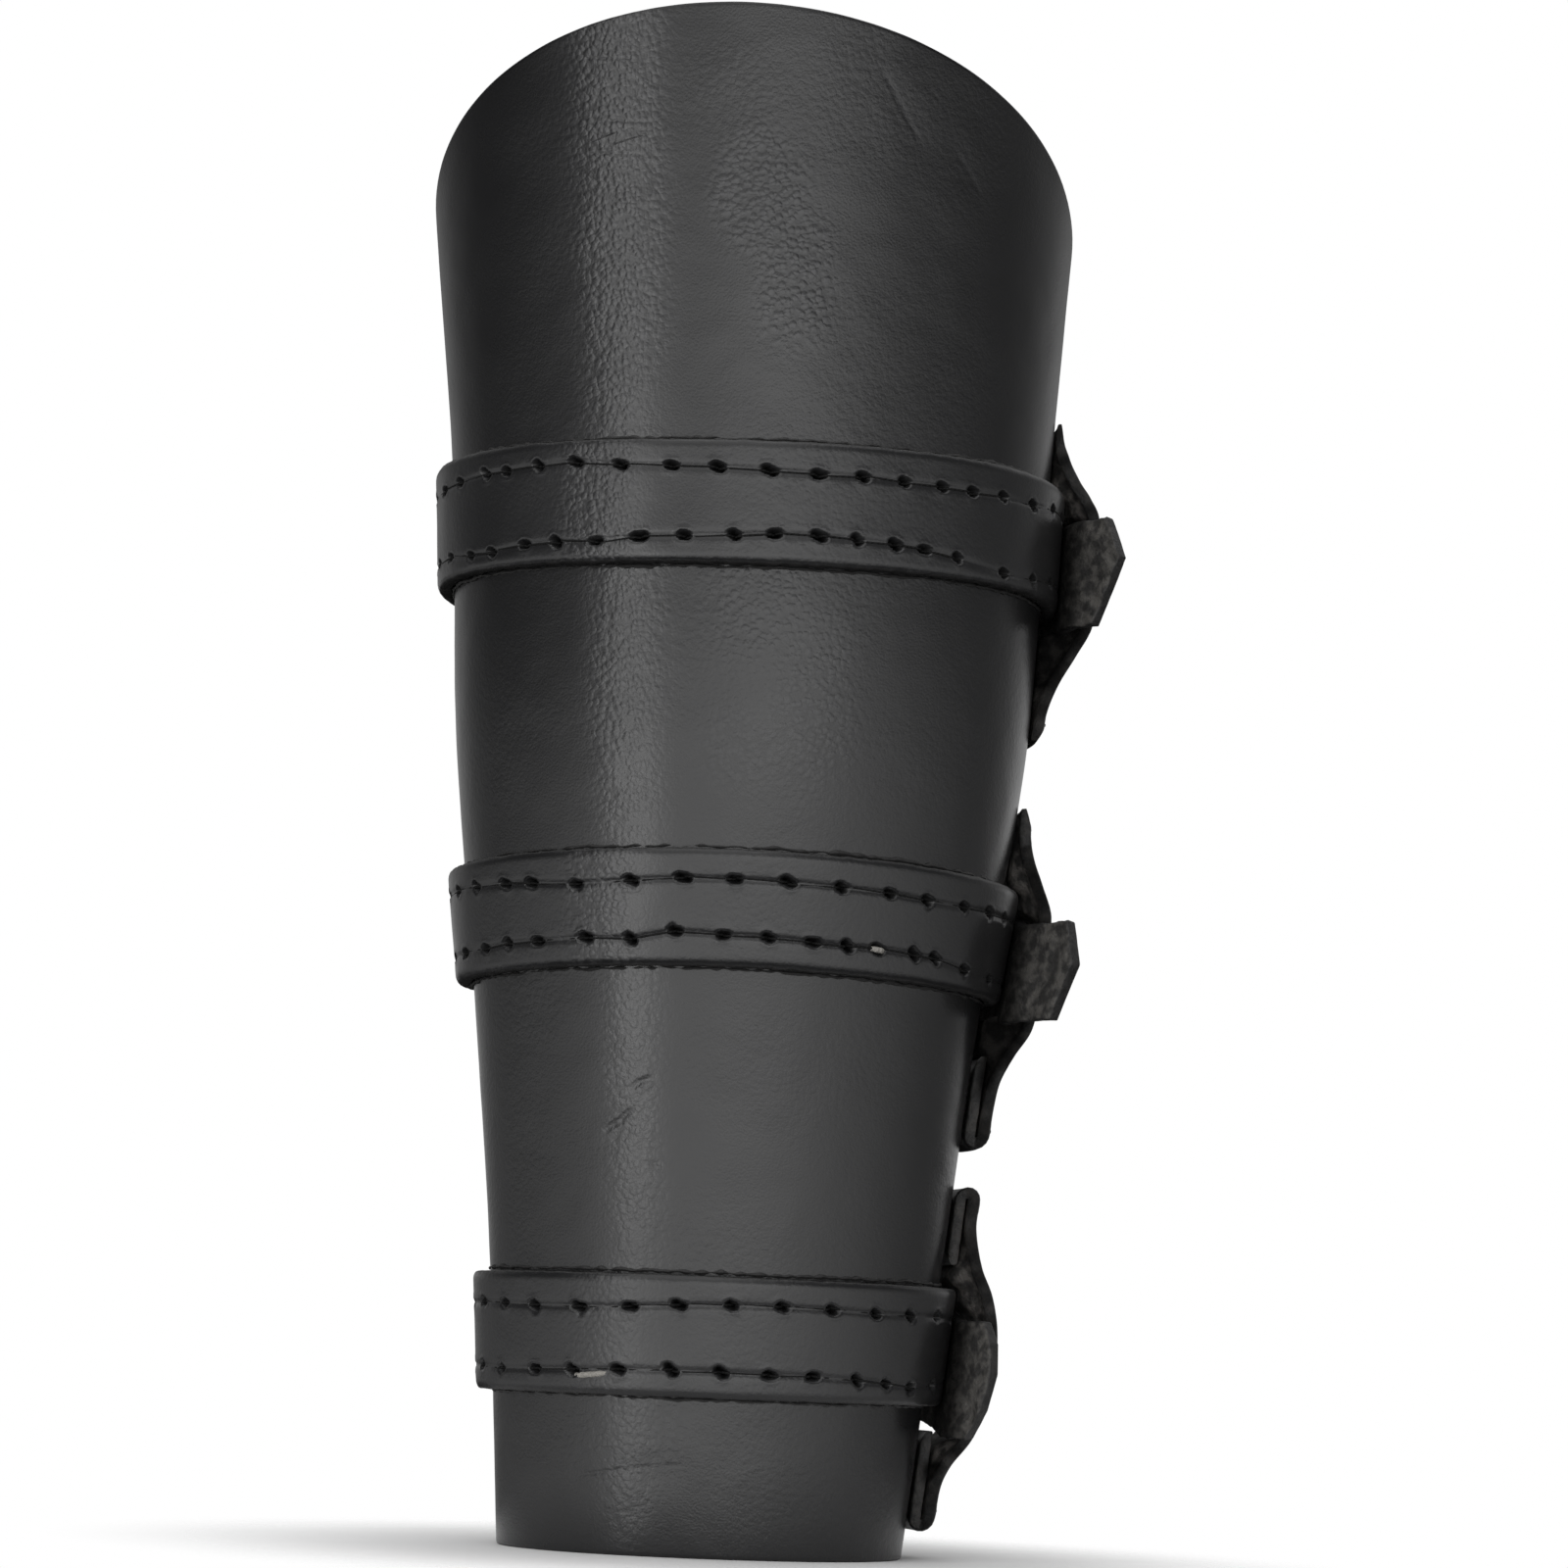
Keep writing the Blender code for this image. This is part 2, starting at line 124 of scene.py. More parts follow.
def roundDrop(distance, radius, depth):
    # how far a rounded edge falls away at a distance from it
    inward = 1 - np.minimum(distance / radius, 1.0)
    return depth * (1 - np.sqrt(1 - inward**2))


def toLinear(colour):
    # sRGB hex to the linear colour that a shader takes
    parts = [int(colour[place : place + 2], 16) / 255 for place in (1, 3, 5)]
    linear = [part / 12.92 if part <= 0.04045 else ((part + 0.055) / 1.055) ** 2.4 for part in parts]
    return (*linear, 1.0)


def addNode(tree, kind, links=None, **settings):
    # a node with its settings; what it is linked to is a value, a socket, or a node for its first output
    node = tree.nodes.new(kind)
    for name, value in settings.items():
        setattr(node, name, value)
    for name, value in (links or {}).items():
        if isinstance(value, bpy.types.Node):
            value = value.outputs[0]
        if isinstance(value, bpy.types.NodeSocket):
            tree.links.new(value, node.inputs[name])
        else:
            node.inputs[name].default_value = value
    return node


soft = {"interpolation_type": "SMOOTHSTEP"}  # for a range that eases in and out


def newMaterial(name):
    # the material, its node tree, its shader and the object's own coordinates
    material = bpy.data.materials.new(name)
    material.use_nodes = True
    tree = material.node_tree
    place = addNode(tree, "ShaderNodeTexCoord").outputs["Object"]
    return material, tree, tree.nodes["Principled BSDF"], place


def mottledMaterial(name, finish):
    # a new material whose colour wanders between two, and the noise that mixes them
    material, tree, shader, place = newMaterial(name)
    mottle = addNode(tree, "ShaderNodeTexNoise", {
        "Vector": place, "Scale": 1 / (finish["mottle"] * mm), "Detail": finish["detail"]
    })
    colour = addNode(tree, "ShaderNodeMix", {
        0: mottle.outputs["Fac"], 6: toLinear(finish["colour"]), 7: toLinear(finish["mottled"])
    }, data_type="RGBA")
    tree.links.new(colour.outputs[2], shader.inputs["Base Color"])
    shader.inputs["Roughness"].default_value = finish["roughness"]
    return material, tree, shader, mottle, place


def addPiece(name, mesh, material):
    mesh.materials.clear()
    mesh.materials.append(material)
    piece = bpy.data.objects.new(name, mesh)
    bpy.context.scene.collection.objects.link(piece)
    return piece


def leatherBody(name, grain, flesh, shut, marks, material):
    # a closed body between two grids of points; shut says which cells are leather, and not a slot, and
    # marks hold what the finish and the hole tree read, on the grain side and on the flesh side
    marks = marks | {"flesh": (0.0, 1.0), "face": (1.0, 0.0)}
    columns, rows = grain.shape[:2]
    count = columns * rows
    number = np.arange(count).reshape(columns, rows)
    a, b, c, d = number[:-1, :-1], number[1:, :-1], number[1:, 1:], number[:-1, 1:]
    closed = np.pad(shut, 1)
    quads = [np.stack([a, b, c, d], -1)[shut], np.stack([d, c, b, a], -1)[shut] + count]
    sides = [
        (a, b, closed[1:-1, :-2]), (b, c, closed[2:, 1:-1]), (c, d, closed[1:-1, 2:]),
        (d, a, closed[:-2, 1:-1])
    ]
    for first, second, beside in sides:
        rim = shut & ~beside
        quads.append(np.stack([second, first, first + count, second + count], -1)[rim])
    quads = np.concatenate(quads)
    points = np.concatenate([grain.reshape(-1, 3), flesh.reshape(-1, 3)])
    used, quads = np.unique(quads, return_inverse=True)
    quads = quads.reshape(-1, 4)
    points = points[used]
    p, q, r = points[quads[:, 0]], points[quads[:, 1]], points[quads[:, 2]]
    if np.einsum("ij,ij->i", p, np.cross(q, r)).sum() < 0:  # faces point outwards
        quads = quads[:, ::-1]
    mesh = bpy.data.meshes.new(name)
    mesh.from_pydata(((points + form["axis"]) * mm).tolist(), [], quads.tolist())
    for key, onSides in marks.items():
        values = np.concatenate([np.broadcast_to(value, (columns, rows)).ravel() for value in onSides])
        values = values[used]
        mesh.attributes.new(key, "FLOAT", "POINT").data.foreach_set("value", values.astype(np.float32))
    mesh.shade_smooth()
    mesh.set_sharp_from_angle(angle=math.radians(50))
    return addPiece(name, mesh, material)


def newTree(name, sockets):
    tree = bpy.data.node_groups.new(name, "GeometryNodeTree")
    tree.interface.new_socket("Geometry", in_out="INPUT", socket_type="NodeSocketGeometry")
    for label, kind, value in sockets:
        socket = tree.interface.new_socket(label, in_out="INPUT", socket_type=kind)
        if value is not None:
            socket.default_value = value
    tree.interface.new_socket("Geometry", in_out="OUTPUT", socket_type="NodeSocketGeometry")
    return tree, addNode(tree, "NodeGroupInput").outputs


def runTree(piece, tree, values):
    # runs the tree on the piece and keeps the result as its plain mesh
    modifier = piece.modifiers.new(tree.name, "NODES")
    modifier.node_group = tree
    for socket in tree.interface.items_tree:
        if socket.item_type == "SOCKET" and socket.in_out == "INPUT" and socket.name in values:
            modifier[socket.identifier] = values[socket.name]
    depsgraph = bpy.context.evaluated_depsgraph_get()
    shown = piece.evaluated_get(depsgraph)
    mesh = bpy.data.meshes.new_from_object(shown, preserve_all_data_layers=True, depsgraph=depsgraph)
    piece.modifiers.remove(modifier)
    piece.data = mesh


# Leather finishes. Sizes in mm, colours as seen in daylight
shellFinish = {
    "grain": "#101011",
    "grainWorn": "#1d1d1e",
    "pebbleTopHighlight": "#2e2e2f",
    "flesh": "#1d1c1b",
    "fleshPale": "#353331",
    "cut": "#101010",
    "cutPale": "#232222",
    "pit": "#080808",
    "roughness": 0.28,
    "roughnessVaries": 0.05,
    "fleshRoughness": 0.7,
    "cutRoughness": 0.62,
    "pitRoughness": 0.9,
    "pebble": 1.05,
    "pebbleDepth": 0.045,
    "pebbleLeast": 0.06,  # share of that depth where the hide is smoothest, and roughest
    "pebbleMost": 0.4,
    "pebblesWander": 0.5,  # how far the pebbles' edges stray, in pebbles
    "pore": 0.35,
    "poreDepth": 0.45,
    "unevenSize": 4.5,
    "uneven": 1.0,
    "patch": 24.0,  # across a patch of dye, wax or grain
    "fibre": 0.5,
    "fibreDepth": 0.16,
    "clump": 1.9,  # of fibres, across
    "furrow": -1.35,
    "lip": 0.35,
}
strapFinish = dict(
    shellFinish, grain="#141415", grainWorn="#222223", pebbleTopHighlight="#2b2b2c", flesh="#232221",
    fleshPale="#4c4a47", roughness=0.3, pebble=0.95, pebbleDepth=0.036, pebbleLeast=0.2, pebbleMost=0.5,
    uneven=0.8, fibreDepth=0.22
)
keeperFinish = dict(
    strapFinish, grain="#121213", grainWorn="#1a1a1b", flesh="#1f1e1d", fleshPale="#514e4b", cut="#0d0d0d",
    cutPale="#2a2826", roughness=0.45
)


def leather(name, finish):
    # Vegetable-tanned cowhide, dyed through in the drum and finished with a soft wax: the grain side is
    # semi-matte with a broad soft highlight over flat pebbles, the flesh side is a matt nap of fibres,
    # and the cut edges are bevelled and burnished, so they are smoother than the nap but not glossy
    material, tree, shader, place = newMaterial(name)
    # marks that the mesh carries: 1 on the flesh side, on a cut edge, where the colour is darkened (painted
    # shade in holes, shaded corners and hollows), where pebbles stand out, and for a crease the signed
    # distance to its line in half widths and its depth in mm
    marks = ("flesh", "cut", "pit", "pebbled", "crease", "creaseDepth")
    flesh, cut, pit, share, line, creaseDepth = (
        addNode(tree, "ShaderNodeAttribute", attribute_name=mark).outputs["Fac"]
        for mark in marks
    )

    noises = {}
    for key, detail in (("pore", 0.0), ("patch", 1.0), ("unevenSize", 0.0), ("clump", 2.0)):
        noises[key] = addNode(tree, "ShaderNodeTexNoise", {
            "Vector": place, "Scale": 1 / (finish[key] * mm), "Detail": detail
        }).outputs["Fac"]

    # Pebbled grain: cells with soft cracks between them, whose edges wander
    stir = addNode(tree, "ShaderNodeTexNoise", {
        "Vector": place, "Scale": 0.8 / (finish["pebble"] * mm), "Detail": 0.0
    })
    stirred = addNode(tree, "ShaderNodeVectorMath", {
        0: stir.outputs["Color"], 1: (finish["pebblesWander"] * finish["pebble"] * mm,) * 3, 2: place
    }, operation="MULTIPLY_ADD")
    cells = addNode(tree, "ShaderNodeTexVoronoi", {
        "Vector": stirred, "Scale": 1 / (finish["pebble"] * mm)
    }, feature="F1")
    domes = addNode(tree, "ShaderNodeMapRange", {
        "Value": cells.outputs["Distance"], "From Min": 0.85, "From Max": 0.1
    }, interpolation_type="SMOOTHERSTEP")
    patchy = addNode(tree, "ShaderNodeMapRange", {
        "Value": noises["patch"], "From Min": 0.36, "From Max": 0.70, "To Min": finish["pebbleLeast"],
        "To Max": finish["pebbleMost"]
    }, **soft)
    strength = addNode(tree, "ShaderNodeMath", {0: patchy, 1: share}, operation="ADD")
    pebbleHeight = addNode(tree, "ShaderNodeMath", {0: domes, 1: strength}, operation="MULTIPLY")
    pebbleHeight = addNode(tree, "ShaderNodeMath", {
        0: noises["unevenSize"], 1: finish["uneven"], 2: pebbleHeight
    }, operation="MULTIPLY_ADD")
    grainHeight = addNode(tree, "ShaderNodeMath", {
        0: noises["pore"], 1: finish["poreDepth"], 2: pebbleHeight
    }, operation="MULTIPLY_ADD")

    # Fine creases: a furrow with a low lip on both sides
    away = addNode(tree, "ShaderNodeMath", {0: line}, operation="ABSOLUTE")
    creased = 0.0
    for key, start, end in (("furrow", 0.0, 1.1), ("lip", 0.9, 2.4)):
        part = addNode(tree, "ShaderNodeMapRange", {
            "Value": away, "From Min": start, "From Max": end,
            "To Min": finish[key] / finish["pebbleDepth"], "To Max": 0.0
        }, **soft)
        creased = addNode(tree, "ShaderNodeMath", {0: creased, 1: part}, operation="ADD")
    grainHeight = addNode(tree, "ShaderNodeMath", {
        0: creased, 1: creaseDepth, 2: grainHeight
    }, operation="MULTIPLY_ADD")

    # Nap of the flesh side and the fibres of a cut edge
    nap = addNode(tree, "ShaderNodeTexNoise", {
        "Vector": place, "Scale": 1 / (finish["fibre"] * mm), "Detail": 2.0, "Roughness": 0.65
    })
    rough = addNode(tree, "ShaderNodeMath", {0: flesh, 1: cut}, operation="MAXIMUM")
    bare = addNode(tree, "ShaderNodeMath", {
        0: nap.outputs["Fac"], 1: finish["fibreDepth"] / finish["pebbleDepth"]
    }, operation="MULTIPLY")
    height = addNode(tree, "ShaderNodeMix", {0: rough, 2: grainHeight, 3: bare}, data_type="FLOAT")
    bump = addNode(tree, "ShaderNodeBump", {
        "Strength": 1.0, "Distance": finish["pebbleDepth"] * mm, "Height": height
    })
    tree.links.new(bump.outputs["Normal"], shader.inputs["Normal"])

    # Colours: dye a little uneven, the tops of the pebbles painted paler as a highlight where the grain is
    # marked as pebbled, nap and cut edges paler in clumps, and holes and shaded places painted almost black
    # as painted shade
    paler = addNode(tree, "ShaderNodeMapRange", {
        "Value": noises["clump"], "From Min": 0.36, "From Max": 0.66
    }, **soft)
    # Painted highlight: the pebble tops turn paler where the pebbled mark is set
    highlightTops = addNode(tree, "ShaderNodeMath", {0: domes, 1: share}, operation="MULTIPLY", use_clamp=True)
    colours = {}
    for dark, pale, mix in (
        ("grain", "grainWorn", noises["patch"]), ("flesh", "fleshPale", paler), ("cut", "cutPale", paler)
    ):
        mixed = addNode(tree, "ShaderNodeMix", {
            0: mix, 6: toLinear(finish[dark]), 7: toLinear(finish[pale])
        }, data_type="RGBA")
        colours[dark] = mixed.outputs[2]
    colour = addNode(tree, "ShaderNodeMix", {
        0: highlightTops, 6: colours["grain"], 7: toLinear(finish["pebbleTopHighlight"])
    }, data_type="RGBA").outputs[2]
    # Roughness: the wax is uneven, nap and cut edges are matt, and holes are matt without any shine
    roughness = addNode(tree, "ShaderNodeMapRange", {
        "Value": noises["patch"], "From Min": 0.3, "From Max": 0.7,
        "To Min": finish["roughness"] - finish["roughnessVaries"] / 2,
        "To Max": finish["roughness"] + finish["roughnessVaries"] / 2
    })
    for mark, over, matt in (
        (flesh, colours["flesh"], "fleshRoughness"), (cut, colours["cut"], "cutRoughness"),
        (pit, toLinear(finish["pit"]), "pitRoughness")
    ):
        colour = addNode(tree, "ShaderNodeMix", {0: mark, 6: colour, 7: over}, data_type="RGBA").outputs[2]
        roughness = addNode(tree, "ShaderNodeMix", {
            0: mark, 2: roughness, 3: finish[matt]
        }, data_type="FLOAT")
    # Painted shade: the shine is also taken away wherever the colour is painted dark
    shine = addNode(tree, "ShaderNodeMath", {0: pit, 1: -0.5, 2: 0.5}, operation="MULTIPLY_ADD")
    tree.links.new(colour, shader.inputs["Base Color"])
    tree.links.new(roughness.outputs[0], shader.inputs["Roughness"])
    tree.links.new(shine.outputs[0], shader.inputs["Specular IOR Level"])
    shader.inputs["IOR"].default_value = 1.5
    return material


shellLeather = leather("blackShellLeather", shellFinish)
strapLeather = leather("blackStrapLeather", strapFinish)
keeperLeather = leather("blackKeeperLeather", keeperFinish)
print("leather finishes made")

# Stitch holes: slits punched through from the grain side with a low lip round them, in a soft trough
# where the seam pulls the leather down, with a narrow groove under each stitch
punchTree, given = newTree("punchedHoles", [
    ("Holes", "NodeSocketObject", None), ("Seam", "NodeSocketObject", None),
    ("Radius", "NodeSocketFloat", 1.2), ("Steep", "NodeSocketFloat", 0.45),
    ("Depth", "NodeSocketFloat", 1.6), ("Lip", "NodeSocketFloat", 0.08),
    ("Dish Reach", "NodeSocketFloat", 2.5), ("Dish Depth", "NodeSocketFloat", 0.25),
    ("Groove Reach", "NodeSocketFloat", 0.8), ("Groove Depth", "NodeSocketFloat", 0.3),
    ("Ragged", "NodeSocketFloat", 0.4), ("Seed", "NodeSocketInt", 1),
    ("Material", "NodeSocketMaterial", None)
])
lengths = ["Radius", "Depth", "Lip", "Dish Reach", "Dish Depth", "Groove Reach", "Groove Depth", "Ragged"]
metres = {
    label: addNode(punchTree, "ShaderNodeMath", {0: given[label], 1: mm}, operation="MULTIPLY")
    for label in lengths
}
holes = addNode(punchTree, "GeometryNodeObjectInfo", {"Object": given["Holes"]}, transform_space="ORIGINAL")
seam = addNode(punchTree, "GeometryNodeObjectInfo", {"Object": given["Seam"]}, transform_space="ORIGINAL")
position = addNode(punchTree, "GeometryNodeInputPosition")
seed = addNode(punchTree, "ShaderNodeMath", {0: given["Seed"], 1: 0.37}, operation="MULTIPLY")
shake = addNode(punchTree, "ShaderNodeTexNoise", {
    "Vector": position, "W": seed, "Scale": 1 / (1.6 * mm), "Detail": 1.0
}, noise_dimensions="4D")
centred = addNode(punchTree, "ShaderNodeVectorMath", {
    0: shake.outputs["Color"], 1: (0.5, 0.5, 0.5)
}, operation="SUBTRACT")
shaken = addNode(punchTree, "ShaderNodeVectorMath", {
    0: centred, "Scale": metres["Ragged"]
}, operation="SCALE")
nearby = addNode(punchTree, "ShaderNodeVectorMath", {0: position, 1: shaken}, operation="ADD")
toHole = addNode(punchTree, "GeometryNodeProximity", {
    0: holes.outputs["Geometry"], "Sample Position": nearby
}, target_element="EDGES")
toStitch = addNode(punchTree, "GeometryNodeProximity", {
    0: seam.outputs["Geometry"], "Sample Position": position
}, target_element="EDGES")
floorReach = addNode(punchTree, "ShaderNodeMath", {
    0: metres["Radius"], 1: given["Steep"]
}, operation="MULTIPLY")
hole = addNode(punchTree, "ShaderNodeMapRange", {
    "Value": toHole.outputs["Distance"], "From Min": metres["Radius"], "From Max": floorReach
}, **soft)
lipMiddle = addNode(punchTree, "ShaderNodeMath", {0: metres["Radius"], 1: 1.3}, operation="MULTIPLY")
lipHalf = addNode(punchTree, "ShaderNodeMath", {0: metres["Radius"], 1: 0.65}, operation="MULTIPLY")
toLip = addNode(punchTree, "ShaderNodeMath", {
    0: toHole.outputs["Distance"], 1: lipMiddle
}, operation="SUBTRACT")
toLip = addNode(punchTree, "ShaderNodeMath", {0: toLip}, operation="ABSOLUTE")
lip = addNode(punchTree, "ShaderNodeMapRange", {
    "Value": toLip, "From Min": lipHalf, "From Max": 0.0
}, **soft)
sunk = addNode(punchTree, "ShaderNodeMath", {0: hole, 1: metres["Depth"]}, operation="MULTIPLY")
raised = addNode(punchTree, "ShaderNodeMath", {0: lip, 1: metres["Lip"]}, operation="MULTIPLY")
sunk = addNode(punchTree, "ShaderNodeMath", {0: sunk, 1: raised}, operation="SUBTRACT")
for trough in ("Dish", "Groove"):
    pulled = addNode(punchTree, "ShaderNodeMapRange", {
        "Value": toStitch.outputs["Distance"], "From Min": metres[trough + " Reach"], "From Max": 0.0
    }, **soft)
    sunk = addNode(punchTree, "ShaderNodeMath", {
        0: pulled, 1: metres[trough + " Depth"], 2: sunk
    }, operation="MULTIPLY_ADD")
face = addNode(punchTree, "GeometryNodeInputNamedAttribute", {"Name": "face"}, data_type="FLOAT")
sunk = addNode(punchTree, "ShaderNodeMath", {0: sunk, 1: face.outputs["Attribute"]}, operation="MULTIPLY")
sunk = addNode(punchTree, "ShaderNodeMath", {0: sunk, 1: -1.0}, operation="MULTIPLY")
normal = addNode(punchTree, "GeometryNodeInputNormal")
inward = addNode(punchTree, "ShaderNodeVectorMath", {0: normal, "Scale": sunk}, operation="SCALE")
# Painted shade: each hole is marked to be coloured almost black, like the shade inside a hole punched right
# through
dark = addNode(punchTree, "ShaderNodeMath", {0: hole, 1: face.outputs["Attribute"]}, operation="MULTIPLY")
kept = addNode(punchTree, "GeometryNodeInputNamedAttribute", {"Name": "pit"}, data_type="FLOAT")
darkest = addNode(punchTree, "ShaderNodeMath", {0: dark, 1: kept.outputs["Attribute"]}, operation="MAXIMUM")
marked = addNode(punchTree, "GeometryNodeStoreNamedAttribute", {
    "Geometry": given["Geometry"], "Name": "pit", "Value": darkest
}, data_type="FLOAT", domain="POINT")
moved = addNode(punchTree, "GeometryNodeSetPosition", {"Geometry": marked, "Offset": inward})
real = addNode(punchTree, "GeometryNodeRealizeInstances", {"Geometry": moved})
painted = addNode(punchTree, "GeometryNodeSetMaterial", {"Geometry": real, "Material": given["Material"]})
addNode(punchTree, "NodeGroupOutput", {"Geometry": painted})

# Stitches: a short length of thread from each hole to the next, both ends diving into the holes
sewTree, given = newTree("sewnThread", [
    ("Thickness", "NodeSocketFloat", 0.85), ("Stitch", "NodeSocketFloat", 7.6),
    ("Dive", "NodeSocketFloat", 1.2), ("Proud", "NodeSocketFloat", 0.1),
    ("Turn In", "NodeSocketFloat", 0.15), ("Lean", "NodeSocketFloat", 3.0), ("Seed", "NodeSocketInt", 1),
    ("Material", "NodeSocketMaterial", None)
])
metres = {
    label: addNode(sewTree, "ShaderNodeMath", {0: given[label], 1: factor}, operation="MULTIPLY")
    for label, factor in (("Thickness", mm / 2), ("Stitch", mm), ("Dive", mm), ("Proud", mm))
}
tip = addNode(sewTree, "ShaderNodeCombineXYZ", {"X": metres["Stitch"]})
line = addNode(sewTree, "GeometryNodeCurvePrimitiveLine", {"Start": (0, 0, 0), "End": tip})
line = addNode(sewTree, "GeometryNodeResampleCurve", {"Curve": line, "Count": 9})
way = addNode(sewTree, "GeometryNodeSplineParameter").outputs["Factor"]
wayBack = addNode(sewTree, "ShaderNodeMath", {0: 1.0, 1: way}, operation="SUBTRACT")
nearEnd = addNode(sewTree, "ShaderNodeMath", {0: way, 1: wayBack}, operation="MINIMUM")
under = addNode(sewTree, "ShaderNodeMath", {0: metres["Dive"], 1: -1.0}, operation="MULTIPLY")
rise = addNode(sewTree, "ShaderNodeMapRange", {
    "Value": nearEnd, "From Max": given["Turn In"], "To Min": under, "To Max": metres["Proud"]
}, **soft)
lift = addNode(sewTree, "ShaderNodeCombineXYZ", {"Z": rise})
line = addNode(sewTree, "GeometryNodeSetPosition", {"Geometry": line, "Offset": lift})
line = addNode(
    sewTree, "GeometryNodeStoreNamedAttribute", {"Geometry": line, "Name": "run", "Value": way},
    data_type="FLOAT", domain="POINT"
)
ring = addNode(sewTree, "GeometryNodeCurvePrimitiveCircle", {
    "Resolution": 6, "Radius": metres["Thickness"]
})
ring = addNode(
    sewTree, "GeometryNodeStoreNamedAttribute", {"Geometry": ring, "Name": "round", "Value": way},
    data_type="FLOAT", domain="POINT"
)
tube = addNode(sewTree, "GeometryNodeCurveToMesh", {
    "Curve": line, "Profile Curve": ring, "Fill Caps": True
})
along = addNode(sewTree, "GeometryNodeInputNamedAttribute", {"Name": "along"}, data_type="FLOAT_VECTOR")
up = addNode(sewTree, "GeometryNodeInputNamedAttribute", {"Name": "up"}, data_type="FLOAT_VECTOR")
sewn = addNode(sewTree, "GeometryNodeInputNamedAttribute", {"Name": "sewn"}, data_type="BOOLEAN")
facing = addNode(sewTree, "FunctionNodeAxesToRotation", {
    "Primary Axis": along.outputs["Attribute"], "Secondary Axis": up.outputs["Attribute"]
}, primary_axis="X", secondary_axis="Z")
leanMost = addNode(sewTree, "ShaderNodeMath", {0: given["Lean"]}, operation="RADIANS")
leanLeast = addNode(sewTree, "ShaderNodeMath", {0: leanMost, 1: -1.0}, operation="MULTIPLY")
lean = addNode(sewTree, "FunctionNodeRandomValue", {
    2: leanLeast, 3: leanMost, "Seed": given["Seed"]
}, data_type="FLOAT")
leaning = addNode(sewTree, "ShaderNodeCombineXYZ", {"Z": lean.outputs[1]})
turned = addNode(sewTree, "FunctionNodeRotateRotation", {0: facing, 1: leaning}, rotation_space="LOCAL")
reach = addNode(sewTree, "ShaderNodeVectorMath", {0: along.outputs["Attribute"]}, operation="LENGTH")
stretch = addNode(sewTree, "ShaderNodeMath", {
    0: reach.outputs["Value"], 1: metres["Stitch"]
}, operation="DIVIDE")
size = addNode(sewTree, "ShaderNodeCombineXYZ", {"X": stretch, "Y": 1.0, "Z": 1.0})
placed = addNode(sewTree, "GeometryNodeInstanceOnPoints", {
    "Points": given["Geometry"], "Selection": sewn.outputs["Attribute"], "Instance": tube,
    "Rotation": turned, "Scale": size
})
real = addNode(sewTree, "GeometryNodeRealizeInstances", {"Geometry": placed})
smooth = addNode(sewTree, "GeometryNodeSetShadeSmooth", {0: real})
painted = addNode(sewTree, "GeometryNodeSetMaterial", {"Geometry": smooth, "Material": given["Material"]})
addNode(sewTree, "NodeGroupOutput", {"Geometry": painted})
print("hole and stitch trees made")

threadFinish = {
    "colour": "#060606",
    "mottled": "#0f0f0f",
    "mottle": 0.4,
    "detail": 3.0,
    "roughness": 0.8,
    "shine": 0.25,
    "twists": 9.0,  # in one stitch
    "ply": 0.08,
}
glintFinish = dict(threadFinish, colour="#706e6a", mottled="#9c9993", roughness=0.85, twists=4.0)


def waxedThread(name, finish):
    # Twisted linen thread, waxed black and worn dull: darker than the leather round it, with the
    # twist as slanted ridges
    material, tree, shader = mottledMaterial(name, finish)[:3]
    run = addNode(tree, "ShaderNodeAttribute", attribute_name="run").outputs["Fac"]
    around = addNode(tree, "ShaderNodeAttribute", attribute_name="round").outputs["Fac"]
    turns = addNode(tree, "ShaderNodeMath", {
        0: run, 1: finish["twists"], 2: around
    }, operation="MULTIPLY_ADD")
    angle = addNode(tree, "ShaderNodeMath", {0: turns, 1: 2 * math.pi}, operation="MULTIPLY")
    ridges = addNode(tree, "ShaderNodeMath", {0: angle}, operation="SINE")
    bump = addNode(tree, "ShaderNodeBump", {
        "Strength": 0.6, "Distance": finish["ply"] * mm, "Height": ridges
    })
    tree.links.new(bump.outputs["Normal"], shader.inputs["Normal"])
    shader.inputs["Specular IOR Level"].default_value = finish["shine"]
    return material


threadBlack = waxedThread("waxedBlackThread", threadFinish)
# Pale grey thread for two stitches: a painted highlight standing in for glints on the thread
threadGlint = waxedThread("bareLinenThread", glintFinish)

dyeAndShadowFinish = {
    "colour": "#070707",
    "mottled": "#1c1b1b",
    "mottle": 0.8,
    "detail": 3.0,
    "roughness": 0.6,
    "lump": 0.1,
}


def dyeAndShadowMaterial(name, finish):
    # Black edge dye and cement, dried in lumps, which also stands in for the contact shadow along the
    # straps' edges as painted shadow: matt and darker than the leather beside it
    material, tree, shader, mottle = mottledMaterial(name, finish)[:4]
    bump = addNode(tree, "ShaderNodeBump", {
        "Strength": 1.0, "Distance": finish["lump"] * mm, "Height": mottle.outputs["Fac"]
    })
    tree.links.new(bump.outputs["Normal"], shader.inputs["Normal"])
    return material


dyeAndShadowBlack = dyeAndShadowMaterial("driedEdgeDye", dyeAndShadowFinish)


def addGuide(name, points, edges):
    # a helper mesh of edges alone
    mesh = bpy.data.meshes.new(name)
    mesh.from_pydata([tuple(point) for point in points], edges, [])
    guide = bpy.data.objects.new(name, mesh)
    bpy.context.scene.collection.objects.link(guide)
    return guide


def holesAlong(row):
    # each hole of a row, with the way out there, the way along the row and whether a stitch follows
    for index, (point, outward) in enumerate(row):
        follows = index + 1 < len(row)
        yield point, outward, row[index + 1][0] - point if follows else point - row[index - 1][0], follows


